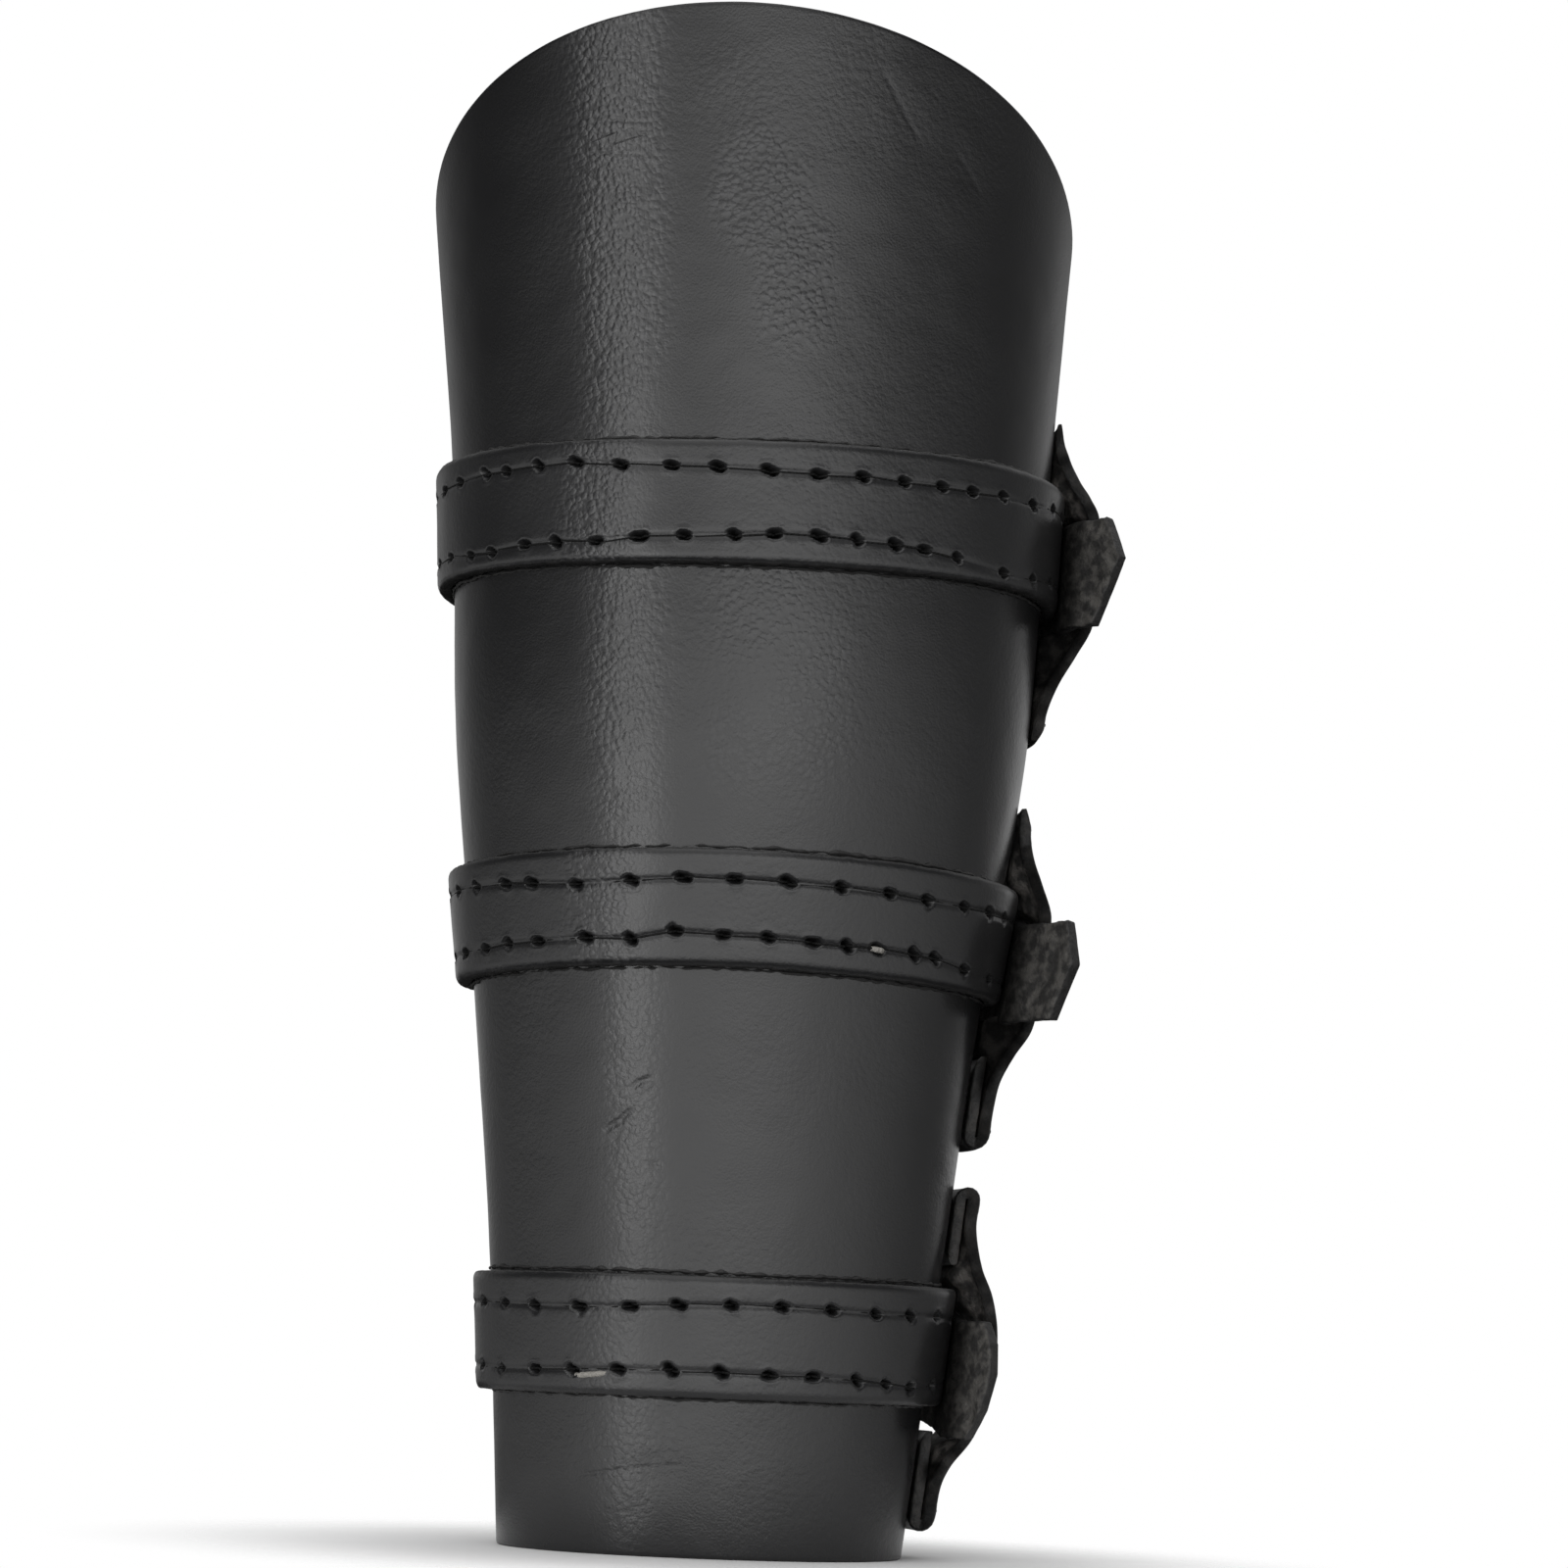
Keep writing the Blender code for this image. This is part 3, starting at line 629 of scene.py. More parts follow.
def stitchGuide(name, rows):
    # one point for each hole, an edge for each stitch; rows hold (point, way out) pairs
    points, edges, along, up, sewn = [], [], [], [], []
    for row in rows:
        for point, outward, ahead, follows in holesAlong(row):
            if follows:
                edges.append((len(points), len(points) + 1))
            points.append((point + form["axis"]) * mm)
            along.append(ahead * mm)
            up.append(outward)
            sewn.append(follows)
    guide = addGuide(name, points, edges)
    marks = guide.data.attributes
    for key, values in (("along", along), ("up", up)):
        layer = marks.new(key, "FLOAT_VECTOR", "POINT")
        layer.data.foreach_set("vector", np.array(values, np.float32).ravel())
    marks.new("sewn", "BOOLEAN", "POINT").data.foreach_set("value", sewn)
    return guide


def slitGuide(name, rows, length, slant):
    # one short edge for each hole, at a slant to its row
    draw = random.Random(name)
    points, edges = [], []
    for row in rows:
        for point, outward, ahead, follows in holesAlong(row):
            ahead = ahead / np.linalg.norm(ahead)
            aside = np.cross(outward, ahead)
            swing = math.radians(slant + draw.uniform(-22, 22))
            way = ahead * math.cos(swing) + aside * math.sin(swing)
            reach = length / 2 * draw.uniform(0.7, 1.25) * way
            edges.append((len(points), len(points) + 1))
            points += [(point - reach + form["axis"]) * mm, (point + reach + form["axis"]) * mm]
    return addGuide(name, points, edges)


def punch(piece, rows, seam, values, slit):
    # cuts the holes of the rows into the piece; slit is their length and their slant in degrees
    holes = slitGuide("slits", rows, *slit)
    runTree(piece, punchTree, dict(values, Holes=holes, Seam=seam, Material=piece.data.materials[0]))
    bpy.data.objects.remove(holes, do_unlink=True)
    piece.data.name = piece.name


def sew(name, guide, values, material=threadBlack):
    # the guide becomes the thread itself
    runTree(guide, sewTree, dict(values, Material=material))
    guide.name = name
    guide.data.name = name
    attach(guide, "root")


# Shell: one sheet of leather, rolled into a tapering tube that stays open along the back
shell = {
    "wall": 2.5,
    "frontHeight": 251.9,
    "rimFall": 27.0,  # how much lower the rim is at the sides than at the front
    "backGap": 20.0,
    "cornerRadius": 8.0,
    "edgeRound": 0.6,
    "edgeDepth": 0.35,
    "innerRound": 0.5,
    "innerDepth": 0.3,
    # where the mesh has its rows, from a cut edge inwards
    "edgeSteps": (0.0, 0.1, 0.25, 0.45, 0.7, 1.1, 1.8, 2.8, 4.0, 5.6),
    "rimSteps": 8,  # of these at the top and the bottom
    "frontAngle": 70.0,  # degrees each way from the front that have the fine columns
    "fineColumns": 110,
    "coarseColumns": 42,  # on each side and round to the back
    "rowStep": 1.35,
    "swell": 0.13,  # slow unevenness of the hide
    "swellSize": 42.0,
    "ripple": 0.05,
    "rippleSize": 7.0,
    "ragged": 0.08,  # along the cut edges
    "raggedSize": 2.2,
    "fleshUneven": 0.08,
    "fleshSize": 4.0,
    "cutReach": 0.3,
}
# Wide, shallow folds in the hide: from angle, height to angle, height, then half width and depth
folds = [
    (-23.5, 66.0, -16.0, 70.5, 1.8, 0.16),
    (24.0, 243.0, 32.5, 230.5, 1.8, 0.08),
    (39.5, 231.5, 46.0, 224.0, 1.8, 0.06),
    (-31.4, 12.4, -2.0, 14.6, 1.8, 0.08),
]
creaseCut = {"farAway": 9.0, "stray": 0.25, "straySize": 2.2, "fade": 1.4, "widest": 2.6}
# Fine creases in the hide: angle and height along each, then half width and depth
creases = [
    ([(-24.6, 67.4), (-22.0, 68.8), (-20.5, 69.0), (-18.6, 70.7), (-17.0, 71.2)], 0.8, 0.1),
    ([(-17.6, 74.3), (-15.4, 75.6), (-11.8, 76.2)], 0.8, 0.1),
    ([(-13.5, 62.4), (-9.5, 62.8)], 0.6, 0.05),
    ([(-27.5, 243.6), (-16.9, 242.8)], 0.45, 0.06),
    ([(-24.5, 232.8), (-14.5, 232.2)], 0.45, 0.06),
    ([(-26.5, 227.7), (-15.5, 226.7)], 0.45, 0.06),
    ([(24.2, 242.8), (31.8, 231.2)], 0.9, 0.03),
    ([(39.7, 231.3), (46.0, 224.6)], 0.9, 0.02),
    ([(-31.4, 12.4), (-14.0, 13.9), (-0.8, 14.8)], 0.6, 0.025),
    ([(-36.8, 31.1), (-17.6, 32.2)], 0.5, 0.02),
]
# Where the grain stands out and its pebble tops are painted paler as a highlight: angle, height, reach both
# ways, strength
pebbledPlaces = [
    (-20.0, 228.0, 8.0, 46.0, 1.1),
    (-19.0, 150.0, 7.0, 40.0, 0.7),
    (4.0, 219.0, 7.0, 9.0, 1.8),
    (11.0, 206.0, 6.5, 10.0, 1.5),
    (-2.0, 238.0, 9.0, 8.0, 0.35),
    (5.0, 153.0, 9.0, 9.0, 0.6),
    (17.0, 138.0, 8.0, 14.0, 0.6),
    (4.0, 129.0, 8.0, 6.0, 0.5),
    (-17.0, 75.0, 7.0, 26.0, 0.5),
    (22.0, 240.0, 14.0, 9.0, 0.1),
    (-14.0, 18.0, 9.0, 14.0, 0.4),
]


def segmentDistance(points, start, end):
    # how far the points are from the line between two others, and at what share of it they lie
    line = end - start
    share = np.clip(((points - start) @ line) / (line @ line), 0.0, 1.0)
    return np.linalg.norm(points - start - share[..., None] * line, axis=-1), share


def creaseMarks(flat):
    # the signed distance to the nearest crease, in its half widths, and how deep that crease is
    marks = np.full(flat.shape[:-1], creaseCut["farAway"])
    nearest = marks
    depths = 0 * marks
    stray = wander(np.concatenate([flat, 0 * flat[..., :1]], axis=-1), creaseCut["straySize"], 6)
    for places, reach, depth in creases:
        width = float(smoothValue(form["sections"], 1, places[0][1]))
        points = np.array([(math.radians(angle) * width, height) for angle, height in places])
        lengths = np.linalg.norm(np.diff(points, axis=0), axis=1)
        for number, (start, end) in enumerate(zip(points, points[1:])):
            way = (end - start) / lengths[number]
            off = flat - start
            square = off[..., 0] * way[1] - off[..., 1] * way[0] + creaseCut["stray"] * stray
            along = lengths[:number].sum() + off @ way
            away = segmentDistance(flat, start, end)[0]
            fadeIn = smoothStep(along / creaseCut["fade"])
            fadeOut = smoothStep((lengths.sum() - along) / creaseCut["fade"])
            faded = fadeIn * fadeOut * smoothStep((creaseCut["widest"] - away) / 0.8)
            faded = faded * np.clip(0.85 + 0.5 * stray, 0.2, 1.2)
            closer = away < nearest
            marks = np.where(closer, square / reach, marks)
            depths = np.where(closer, depth * faded, depths)
            nearest = np.where(closer, away, nearest)
    return marks, depths


def buildShell():
    middle = float(smoothValue(form["sections"], 1, shell["frontHeight"] / 2))
    edge = math.pi - math.asin(shell["backGap"] / 2 / middle)
    corner = shell["cornerRadius"] / middle
    front = math.radians(shell["frontAngle"])
    edgeSteps = np.array(shell["edgeSteps"])
    rounding = edgeSteps / middle
    side = np.linspace(front, edge - rounding[-1] - 0.02, shell["coarseColumns"])
    right = np.concatenate([side, edge - rounding[::-1]])
    angles = np.concatenate([-right[::-1], np.linspace(-front, front, shell["fineColumns"])[1:-1], right])
    angles = angles[:, None]

    inward = np.minimum((edge - np.abs(angles)) / corner, 1.0)
    cornerRise = shell["cornerRadius"] * (1 - np.sqrt(1 - (1 - inward) ** 2))
    top = shell["frontHeight"] - shell["rimFall"] * (1 - np.cos(angles)) - cornerRise
    near = edgeSteps[: shell["rimSteps"]]
    count = int((shell["frontHeight"] - 2 * near[-1]) / shell["rowStep"])
    share = np.linspace(0.0, 1.0, count)[None, 1:-1]
    low = cornerRise + near
    high = top - near[::-1]
    body = low[:, -1:] + (high[:, :1] - low[:, -1:]) * share
    heights = np.concatenate([low, body, high], axis=1)
    halfWidth = smoothValue(form["sections"], 1, heights)
    turned = angles * (math.pi - np.arcsin(shell["backGap"] / 2 / halfWidth)) / edge

    toBack = (edge - np.abs(angles)) * middle + 0 * heights
    distance = np.minimum(np.minimum(heights - cornerRise, top - heights), toBack)
    placed = formPoint(turned, heights)
    swell = shell["swell"] * wander(placed, shell["swellSize"], 3)
    swell += shell["ripple"] * wander(placed, shell["rippleSize"], 5)
    flat = np.stack([turned * halfWidth, heights], axis=-1)
    for angleA, heightA, angleB, heightB, reach, depth in folds:
        width = float(smoothValue(form["sections"], 1, (heightA + heightB) / 2))
        start = np.array((math.radians(angleA) * width, heightA))
        end = np.array((math.radians(angleB) * width, heightB))
        away, along = segmentDistance(flat, start, end)
        away += 0.5 * swell / shell["swell"]
        swell -= depth * np.exp(-((away / reach) ** 2)) * (0.5 + 0.5 * np.sin(math.pi * along))
    pebbled = np.zeros(heights.shape)
    for angle, height, acrossReach, upReach, strength in pebbledPlaces:
        far = np.hypot((np.degrees(turned) - angle) / acrossReach, (heights - height) / upReach)
        pebbled = np.maximum(pebbled, strength * smoothStep(1.6 - far - 0.35 * wander(placed, 12.0, 8)))

    crease, creaseDepth = creaseMarks(flat)

    ragged = shell["ragged"] * wander(placed, shell["raggedSize"], 11) * (distance < 0.01)
    outerDrop = roundDrop(distance, shell["edgeRound"], shell["edgeDepth"])
    outer = np.clip(swell, -0.8, 0.25) - outerDrop + ragged
    innerDrop = roundDrop(distance, shell["innerRound"], shell["innerDepth"])
    inner = innerDrop - shell["wall"] + shell["fleshUneven"] * wander(placed, shell["fleshSize"], 21)
    cut = smoothStep(1 - distance / shell["cutReach"])
    marks = {
        "cut": (cut, cut), "pit": (0.0, 0.0), "pebbled": (pebbled, 0.0),
        "crease": (crease, creaseCut["farAway"]), "creaseDepth": (creaseDepth, 0.0)
    }
    grain, flesh = formPoint(turned, heights, outer), formPoint(turned, heights, inner)
    shut = np.ones((heights.shape[0] - 1, heights.shape[1] - 1), bool)
    return leatherBody("shell_hide", grain, flesh, shut, marks, shellLeather)


shellPiece = buildShell()
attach(shellPiece, "root")
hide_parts("shell")
print("shell built,", len(shellPiece.data.polygons), "faces")

# Straps: laid round the shell, sewn over the front and left side, folded round a buckle bar at one end
# and ending in a free tail at the other
strapCut = {
    "thick": 2.6,
    "turnThick": 1.8,  # pared down where it turns round the buckle bar
    "turnLeaf": 8.5,
    "turnClearance": 0.25,
    "bevel": 1.4,
    "bevelDepth": 0.75,
    "fleshRound": 0.6,
    "fleshDepth": 0.3,
    "slotHalf": 1.7,
    "holeStart": 2.6,  # the prong's hole in the tail, from the bar
    "holeEnd": 8.0,
    "fineStep": 0.42,  # of the mesh where it is sewn
    "plainStep": 0.6,
    "hiddenStep": 1.5,
    "laneStep": 0.36,
    "edgeSteps": (0.0, 0.12, 0.35, 0.7, 1.1, 1.55),  # from the strap's edge inwards
    "middleLanes": (2.15, 1.7, 1.3, 0.9, 0.45),
    "tipSteps": (0.78, 0.86, 0.92, 0.965, 0.99, 1.0),
    "sewnReach": 0.72,  # of the way round
    "cutReach": 0.3,
    "rimReach": 1.2,  # how far in from the edge it strays
    "ragged": 0.13,
    "climb": 10.0,  # how far past the buckle the tail starts to rise
    "flareStart": 1.5,  # where the free tail curls outwards, back from the right side
    "flareRadius": 6.0,
    "flareTurn": 60.0,
    "taperLength": 9.0,
}
buckle = {
    "barBack": 33.0,  # back from the right side, round the form
    "length": 13.0,
    "wire": 1.1,
    "prong": 0.9,
    "sideRoom": 1.9,
    "corner": 3.0,
}
# Holes are (distance from the right side, height over the strap's middle), read along each row
straps = [
    {
        "name": "upper",
        "endShade": 0.3,
        "pebbledAt": -20.5,
        "pebbledBy": 1.2,
        "height": 169.1,
        "width": 20.2,
        "sideRise": 2.0,
        "tailDrop": 4.0,
        "tailTaper": 0.8,
        "tip": [(-10.1, 3.1), (2.2, 8.2), (10.1, 4.6)],  # how far the tail reaches past the curl
        "rowReach": (3.0, 8.6),
        "holes": [
            [
                (11.2, 5.6), (19.2, 4.7), (27.5, 4.7), (34.4, 4.5), (40.4, 4.6), (47.2, 4.6), (54.0, 4.8),
                (61.0, 4.8), (68.6, 5.0), (76.6, 5.4), (83.9, 5.5), (92.3, 5.7), (99.8, 6.4), (107.0, 6.2),
                (113.8, 5.8), (119.1, 5.9),
            ],
            [
                (17.4, -7.7), (26.2, -8.0), (36.6, -6.9), (43.0, -6.1), (48.1, -5.8), (54.5, -5.5),
                (60.6, -5.3), (67.5, -5.3), (73.8, -5.7), (81.6, -5.9), (88.9, -6.1), (96.3, -6.8),
                (103.5, -6.7), (109.9, -6.8), (117.7, -7.5), (123.6, -7.4),
            ],
        ],
    },
    {
        "name": "middle",
        "endShade": 0.0,
        "pebbledAt": -17.0,
        "pebbledBy": 0.8,
        "height": 103.5,
        "width": 18.8,
        "sideRise": -0.8,
        "tailDrop": 4.4,
        "tailTaper": 1.1,
        "tip": [(-9.4, 7.2), (1.0, 10.4), (9.4, 7.2)],
        "rowReach": (2.6, 7.2),
        "glintThread": [(40.0, -4.9), (37.7, -5.1)],
        "holes": [
            [
                (9.6, 3.9), (15.8, 4.0), (22.8, 3.9), (31.0, 3.9), (38.1, 4.2), (46.0, 4.3), (54.4, 4.5),
                (62.4, 4.5), (70.3, 4.5), (78.5, 4.1), (87.7, 3.7), (96.1, 4.3), (101.9, 4.6),
            ],
            [
                (11.3, -6.6), (20.1, -6.1), (27.6, -5.2), (32.1, -5.0), (38.9, -4.8), (44.0, -5.0),
                (49.7, -4.8), (56.8, -4.5), (63.8, -4.4), (71.3, -4.0), (78.5, -5.3), (86.2, -5.0),
                (95.3, -5.2), (101.9, -5.1), (108.2, -5.5),
            ],
        ],
    },
    {
        "name": "lower",
        "endShade": 0.9,
        "pebbledAt": -14.5,
        "pebbledBy": 0.35,
        "height": 35.1,
        "width": 19.4,
        "sideRise": 0.1,
        "tailDrop": 5.2,
        "tailTaper": 0.0,
        "tip": [(-9.7, 1.9), (-5.0, 4.3), (1.0, 5.5), (6.0, 4.6), (9.7, 2.3)],
        "rowReach": (2.8, 7.4),
        "glintThread": [(73.4, -6.9), (67.8, -6.3)],
        "holes": [
            [
                (10.8, 4.8), (18.5, 4.8), (25.7, 4.8), (33.5, 5.1), (41.3, 5.2), (49.0, 5.2), (56.9, 4.9),
                (64.5, 4.4), (72.9, 4.2), (81.3, 4.2), (88.5, 4.4),
            ],
            [
                (16.1, -6.8), (22.0, -6.4), (27.8, -6.0), (35.5, -5.6), (42.5, -5.6), (50.0, -5.5),
                (57.7, -5.4), (66.1, -5.6), (74.0, -5.9), (81.3, -6.0), (89.8, -6.2),
            ],
        ],
    },
]
for strap in straps:
    strap["lap"] = lapTable(strap["height"])
    strap["once"] = strap["lap"][-1]

onShell = form["air"] + strapCut["thick"] / 2
barOff = form["air"] + strapCut["turnThick"] + strapCut["turnClearance"] + buckle["wire"]


def tailRise(pastBar):
    # how far off the shell the tail's middle lies as it climbs over the folded bar
    overBar = barOff + buckle["wire"] + strapCut["turnClearance"] + strapCut["turnThick"] + onShell
    climbed = float(smoothStep(1 - pastBar / (buckle["length"] + strapCut["climb"])))
    return onShell + (overBar - onShell) * climbed


farBarOff = tailRise(buckle["length"]) + strapCut["thick"] / 2 + form["air"] + buckle["wire"] + 0.15


def strapRoute(strap):
    # (back, off, thickness) along the strap's middle, and which of them begin or end a part of it
    bar, leaf = buckle["barBack"], strapCut["turnLeaf"]
    turnThick, thick = strapCut["turnThick"], strapCut["thick"]
    once = strap["once"]
    fold = buckle["wire"] + strapCut["turnClearance"] + turnThick / 2
    leafOff = barOff - fold
    overLeaf = leafOff + turnThick / 2 + form["air"] + thick / 2
    route = [(bar - leaf, leafOff, turnThick), (bar - leaf / 2, leafOff, turnThick)]
    marks = {"slotStart": len(route)}
    for step in range(13):
        swing = math.radians(-90 + 15 * step)
        route.append((bar + fold * math.cos(swing), barOff + fold * math.sin(swing), turnThick))
    marks["slotEnd"] = len(route) - 1
    route += [
        (bar - 2.5, barOff + fold - 0.3, turnThick + 0.2), (bar - 5.5, overLeaf + 0.55, thick),
        (bar - leaf - 0.5, overLeaf, thick), (bar - leaf - 2.5, overLeaf - 0.7, thick),
        (bar - leaf - 5.5, onShell + 0.45, thick), (bar - leaf - 8.5, onShell, thick)
    ]
    marks["down"] = len(route) - 1
    start = bar - leaf - 8.5
    end = bar + buckle["length"] + strapCut["climb"] - once
    count = round((start - end) / once * 65)
    route += [(start + (end - start) * step / count, onShell, thick) for step in range(1, count + 1)]
    marks["tail"] = len(route) - 1
    holeStart, holeEnd = strapCut["holeStart"], strapCut["holeEnd"]
    for pastBar in (19.0, 16.0, 13.0, 10.5, holeEnd, 6.2, 4.4, holeStart, 1.0, -1.2):
        if pastBar == holeEnd:
            marks["holeStart"] = len(route)
        if pastBar == holeStart:
            marks["holeEnd"] = len(route)
        route.append((bar + pastBar - once, tailRise(pastBar), thick))
    second = 2 * form["air"] + 1.5 * thick
    overBar = tailRise(0.0)
    for beforeBar, off in (
        (3.5, overBar - 0.25), (6.0, overBar - 0.9), (leaf + 0.5, second + 2.3),
        (leaf + 3.5, second + 1.25), (leaf + 6.5, second + 0.35), (leaf + 9.5, second)
    ):
        route.append((bar - beforeBar - once, off, thick))
    route += [(9.0 - once, second, thick), (5.0 - once, second, thick)]
    marks["flare"] = len(route)
    radius = strapCut["flareRadius"]
    for step in range(9):
        swing = math.radians(strapCut["flareTurn"]) * step / 8
        back = strapCut["flareStart"] - radius * math.sin(swing) - once
        route.append((back, second + radius * (1 - math.cos(swing)), thick))
    return np.array(route), marks


def strapPlace(strap, back, off, lane, backForDrop):
    # a point of the strap; the tail drops and tapers by how far back its middle is
    angle = lapAngle(strap["lap"], back)
    bar = buckle["barBack"]
    drop = strap["tailDrop"] * smoothStep((bar - 2 - (backForDrop + strap["once"])) / bar)
    tapered = smoothStep(1 - (backForDrop + strap["once"]) / strapCut["taperLength"])
    taper = strap["tailTaper"] * 2 / strap["width"] * tapered
    height = strap["height"] + strap["sideRise"] * np.sin(angle) ** 2 - drop + lane * (1 - taper)
    return formPoint(angle, height, off)


def buildStrap(strap):
    route, marks = strapRoute(strap)
    run = np.concatenate([[0.0], np.cumsum(np.hypot(*np.diff(route[:, :2], axis=0).T))])
    table = np.column_stack([run, route])
    at = {key: run[index] for key, index in marks.items()}
    sewnFrom = at["down"] - 3.0
    sewnTo = at["down"] + strapCut["sewnReach"] * strap["once"] + 6.0
    buckled = at["tail"] - 42.0
    zones = [
        (0.0, sewnFrom, strapCut["plainStep"]), (sewnFrom, sewnTo, strapCut["fineStep"]),
        (sewnTo, buckled, strapCut["hiddenStep"]), (buckled, at["tail"], strapCut["plainStep"]),
        (at["tail"], run[-1], strapCut["plainStep"])
    ]
    places = np.concatenate([
        np.linspace(a, b, max(2, round((b - a) / step)), endpoint=False) for a, b, step in zones
    ])
    places = np.append(places, run[-1])
    back, off, thick = (smoothValue(table, column, places) for column in (1, 2, 3))
    wayBack, wayOff = np.gradient(back, places), np.gradient(off, places)
    turn = math.radians(strapCut["flareTurn"])
    wayBack[-1], wayOff[-1] = -math.cos(turn), math.sin(turn)

    half = strap["width"] / 2
    edgeLines = np.array(strapCut["edgeSteps"])
    rowLines = np.arange(strap["rowReach"][1], strap["rowReach"][0], -strapCut["laneStep"])
    lanes = np.concatenate([half - edgeLines, rowLines[rowLines < half - 1.8], strapCut["middleLanes"]])
    lanes = np.concatenate([-lanes, [0.0], lanes[::-1]])[None, :]
    tipLength = np.interp(lanes, *np.array(strap["tip"]).T)
    tipShare = np.concatenate([np.linspace(0, 0.68, 8)[1:], strapCut["tipSteps"]])[:, None]
    count, tipCount = len(places), len(tipShare)

    def extend(values):
        return np.concatenate([values, np.repeat(values[-1], tipCount)])[:, None]

    wayBack, wayOff, thick = extend(wayBack), extend(wayOff), extend(thick)
    length = np.hypot(wayBack, wayOff)
    past = np.zeros((count + tipCount, lanes.shape[1]))
    past[count:] = tipShare * tipLength
    backGrid = extend(back) - math.cos(turn) * past
    offGrid = extend(off) + math.sin(turn) * past
    placeGrid = np.concatenate([places, np.repeat(places[-1], tipCount)])[:, None] + past

    toTip = np.where(placeGrid > places[-1] - 6, (places[-1] + tipLength - placeGrid) * 0.9, 9.0)
    distance = np.minimum(np.minimum(half - np.abs(lanes), toTip), placeGrid)
    flared = smoothStep((placeGrid - at["flare"]) / 4.0)
    flat = np.stack([placeGrid, lanes + 0 * placeGrid, 0 * placeGrid + strap["height"]], axis=-1)
    rim = smoothStep(1 - distance / strapCut["rimReach"])
    strayGrain = strapCut["ragged"] * wander(flat, 1.7, 31) * rim
    strayFlesh = 2.2 * strapCut["ragged"] * wander(flat, 1.3, 33) * rim

    def side(which, inset, stray):
        square = which * (thick / 2 - inset)
        return strapPlace(
            strap, backGrid + wayOff / length * square, offGrid - wayBack / length * square,
            lanes + np.sign(lanes) * stray, backGrid
        )

    lumps = 0.36 * wander(flat, 2.6, 41) + 0.2 * wander(flat, 1.3, 43)
    bevel = roundDrop(distance, strapCut["bevel"], strapCut["bevelDepth"])
    grain = side(1, bevel + 0.04 * wander(flat, 5.0, 35), strayGrain)
    fleshDrop = roundDrop(distance, strapCut["fleshRound"], strapCut["fleshDepth"])
    flesh = side(-1, fleshDrop + flared * (0.22 - lumps), strayFlesh)

    middle = (placeGrid[:-1, :1] + placeGrid[1:, :1]) / 2
    slot = (middle > at["slotStart"]) & (middle < at["slotEnd"])
    slot |= (middle > at["holeStart"]) & (middle < at["holeEnd"])
    laneMiddle = np.abs(lanes[:, :-1] + lanes[:, 1:]) / 2
    shut = ~(slot & (laneMiddle < strapCut["slotHalf"]))
    cut = smoothStep(1 - distance / strapCut["cutReach"])
    # Painted shade: the flesh side is darkened at the tail's root where it curls out, and the grain side at
    # the strap's right end beside the tail
    crookShade = 0.65 * smoothStep((at["flare"] + 8.0 - placeGrid) / 4.0)
    crookShade = crookShade * smoothStep((placeGrid - at["flare"] + 9) / 3)
    # The grain stands out along the strip light's highlight, and the pebble tops there are painted paler as
    # a highlight
    far = np.abs(grain[..., 0] - strap["pebbledAt"]) / 5.0
    pebbled = strap["pebbledBy"] * smoothStep(1.7 - far - 0.5 * wander(flat, 7.0, 44)) * (grain[..., 1] < 0)
    end = strap["endShade"] * smoothStep((backGrid + 7.5) / 7.0) * (placeGrid < at["down"] + 12.0)
    marks = {"cut": (cut, cut), "pit": (end, crookShade), "pebbled": (pebbled, 0.0)}
    return leatherBody("strap_" + strap["name"] + "_leather", grain, flesh, shut, marks, strapLeather)


def strapSpot(strap, along, lane, off):
    # a point over the strap's middle part and the way out from it
    def at(along, lane):
        return strapPlace(strap, -np.float64(along), off, lane, -np.float64(along))

    point = at(along, lane)
    across = at(along - 0.5, lane) - at(along + 0.5, lane)
    upward = at(along, lane + 0.5) - at(along, lane - 0.5)
    outward = np.cross(across, upward)
    return point, outward / np.linalg.norm(outward)


stitches = {
    "step": 7.5,
    "stepVaries": 0.6,
    "laneVaries": 0.3,
    "fromEdge": 4.6,
    "from": -10.0,  # where a row starts, past the right side
    "reach": 0.70,  # of the way round
    "holes": {
        "Radius": 0.82, "Steep": 0.35, "Depth": 1.9, "Dish Reach": 1.5, "Dish Depth": 0.06,
        "Groove Reach": 0.62, "Groove Depth": 0.22, "Ragged": 0.7,
    },
    "slit": (1.15, -22.0),  # its length, and its slant to the row in degrees
    "thread": {"Dive": 1.9, "Proud": -0.16, "Thickness": 0.42},
    "threadInside": {"Dive": 0.9, "Proud": 0.1, "Thickness": 0.85},
    "glintThread": {"Dive": 0.6, "Proud": 0.1, "Thickness": 0.95, "Turn In": 0.25, "Lean": 0.0},
}
spareHoles = {
    "places": (27.0, 49.0),  # past the buckle's bar
    "holes": {
        "Radius": 1.7, "Steep": 0.7, "Depth": 2.2, "Lip": 0.05, "Dish Depth": 0.12, "Groove Depth": 0.0,
        "Ragged": 0.15, "Seed": 9,
    },
    "slit": (0.2, 0.0),
}


def strapRows(strap):
    # the rows' own holes, carried on at an even step to the shell's back edge and the buckle's fold
    draw = random.Random(strap["name"])

    def nextHole(along, lane, way):
        step = stitches["step"] + draw.uniform(-1, 1) * stitches["stepVaries"]
        lane += 0.3 * (rest - lane) + draw.uniform(-1, 1) * stitches["laneVaries"]
        return along + way * step, lane

    rows = []
    for row in strap["holes"]:
        row = list(row)
        rest = math.copysign(strap["width"] / 2 - stitches["fromEdge"], row[0][1])
        while row[-1][0] + stitches["step"] < stitches["reach"] * strap["once"]:
            row.append(nextHole(*row[-1], 1))
        while row[0][0] - stitches["step"] > stitches["from"]:
            row.insert(0, nextHole(*row[0], -1))
        rows.append(row)
    return rows


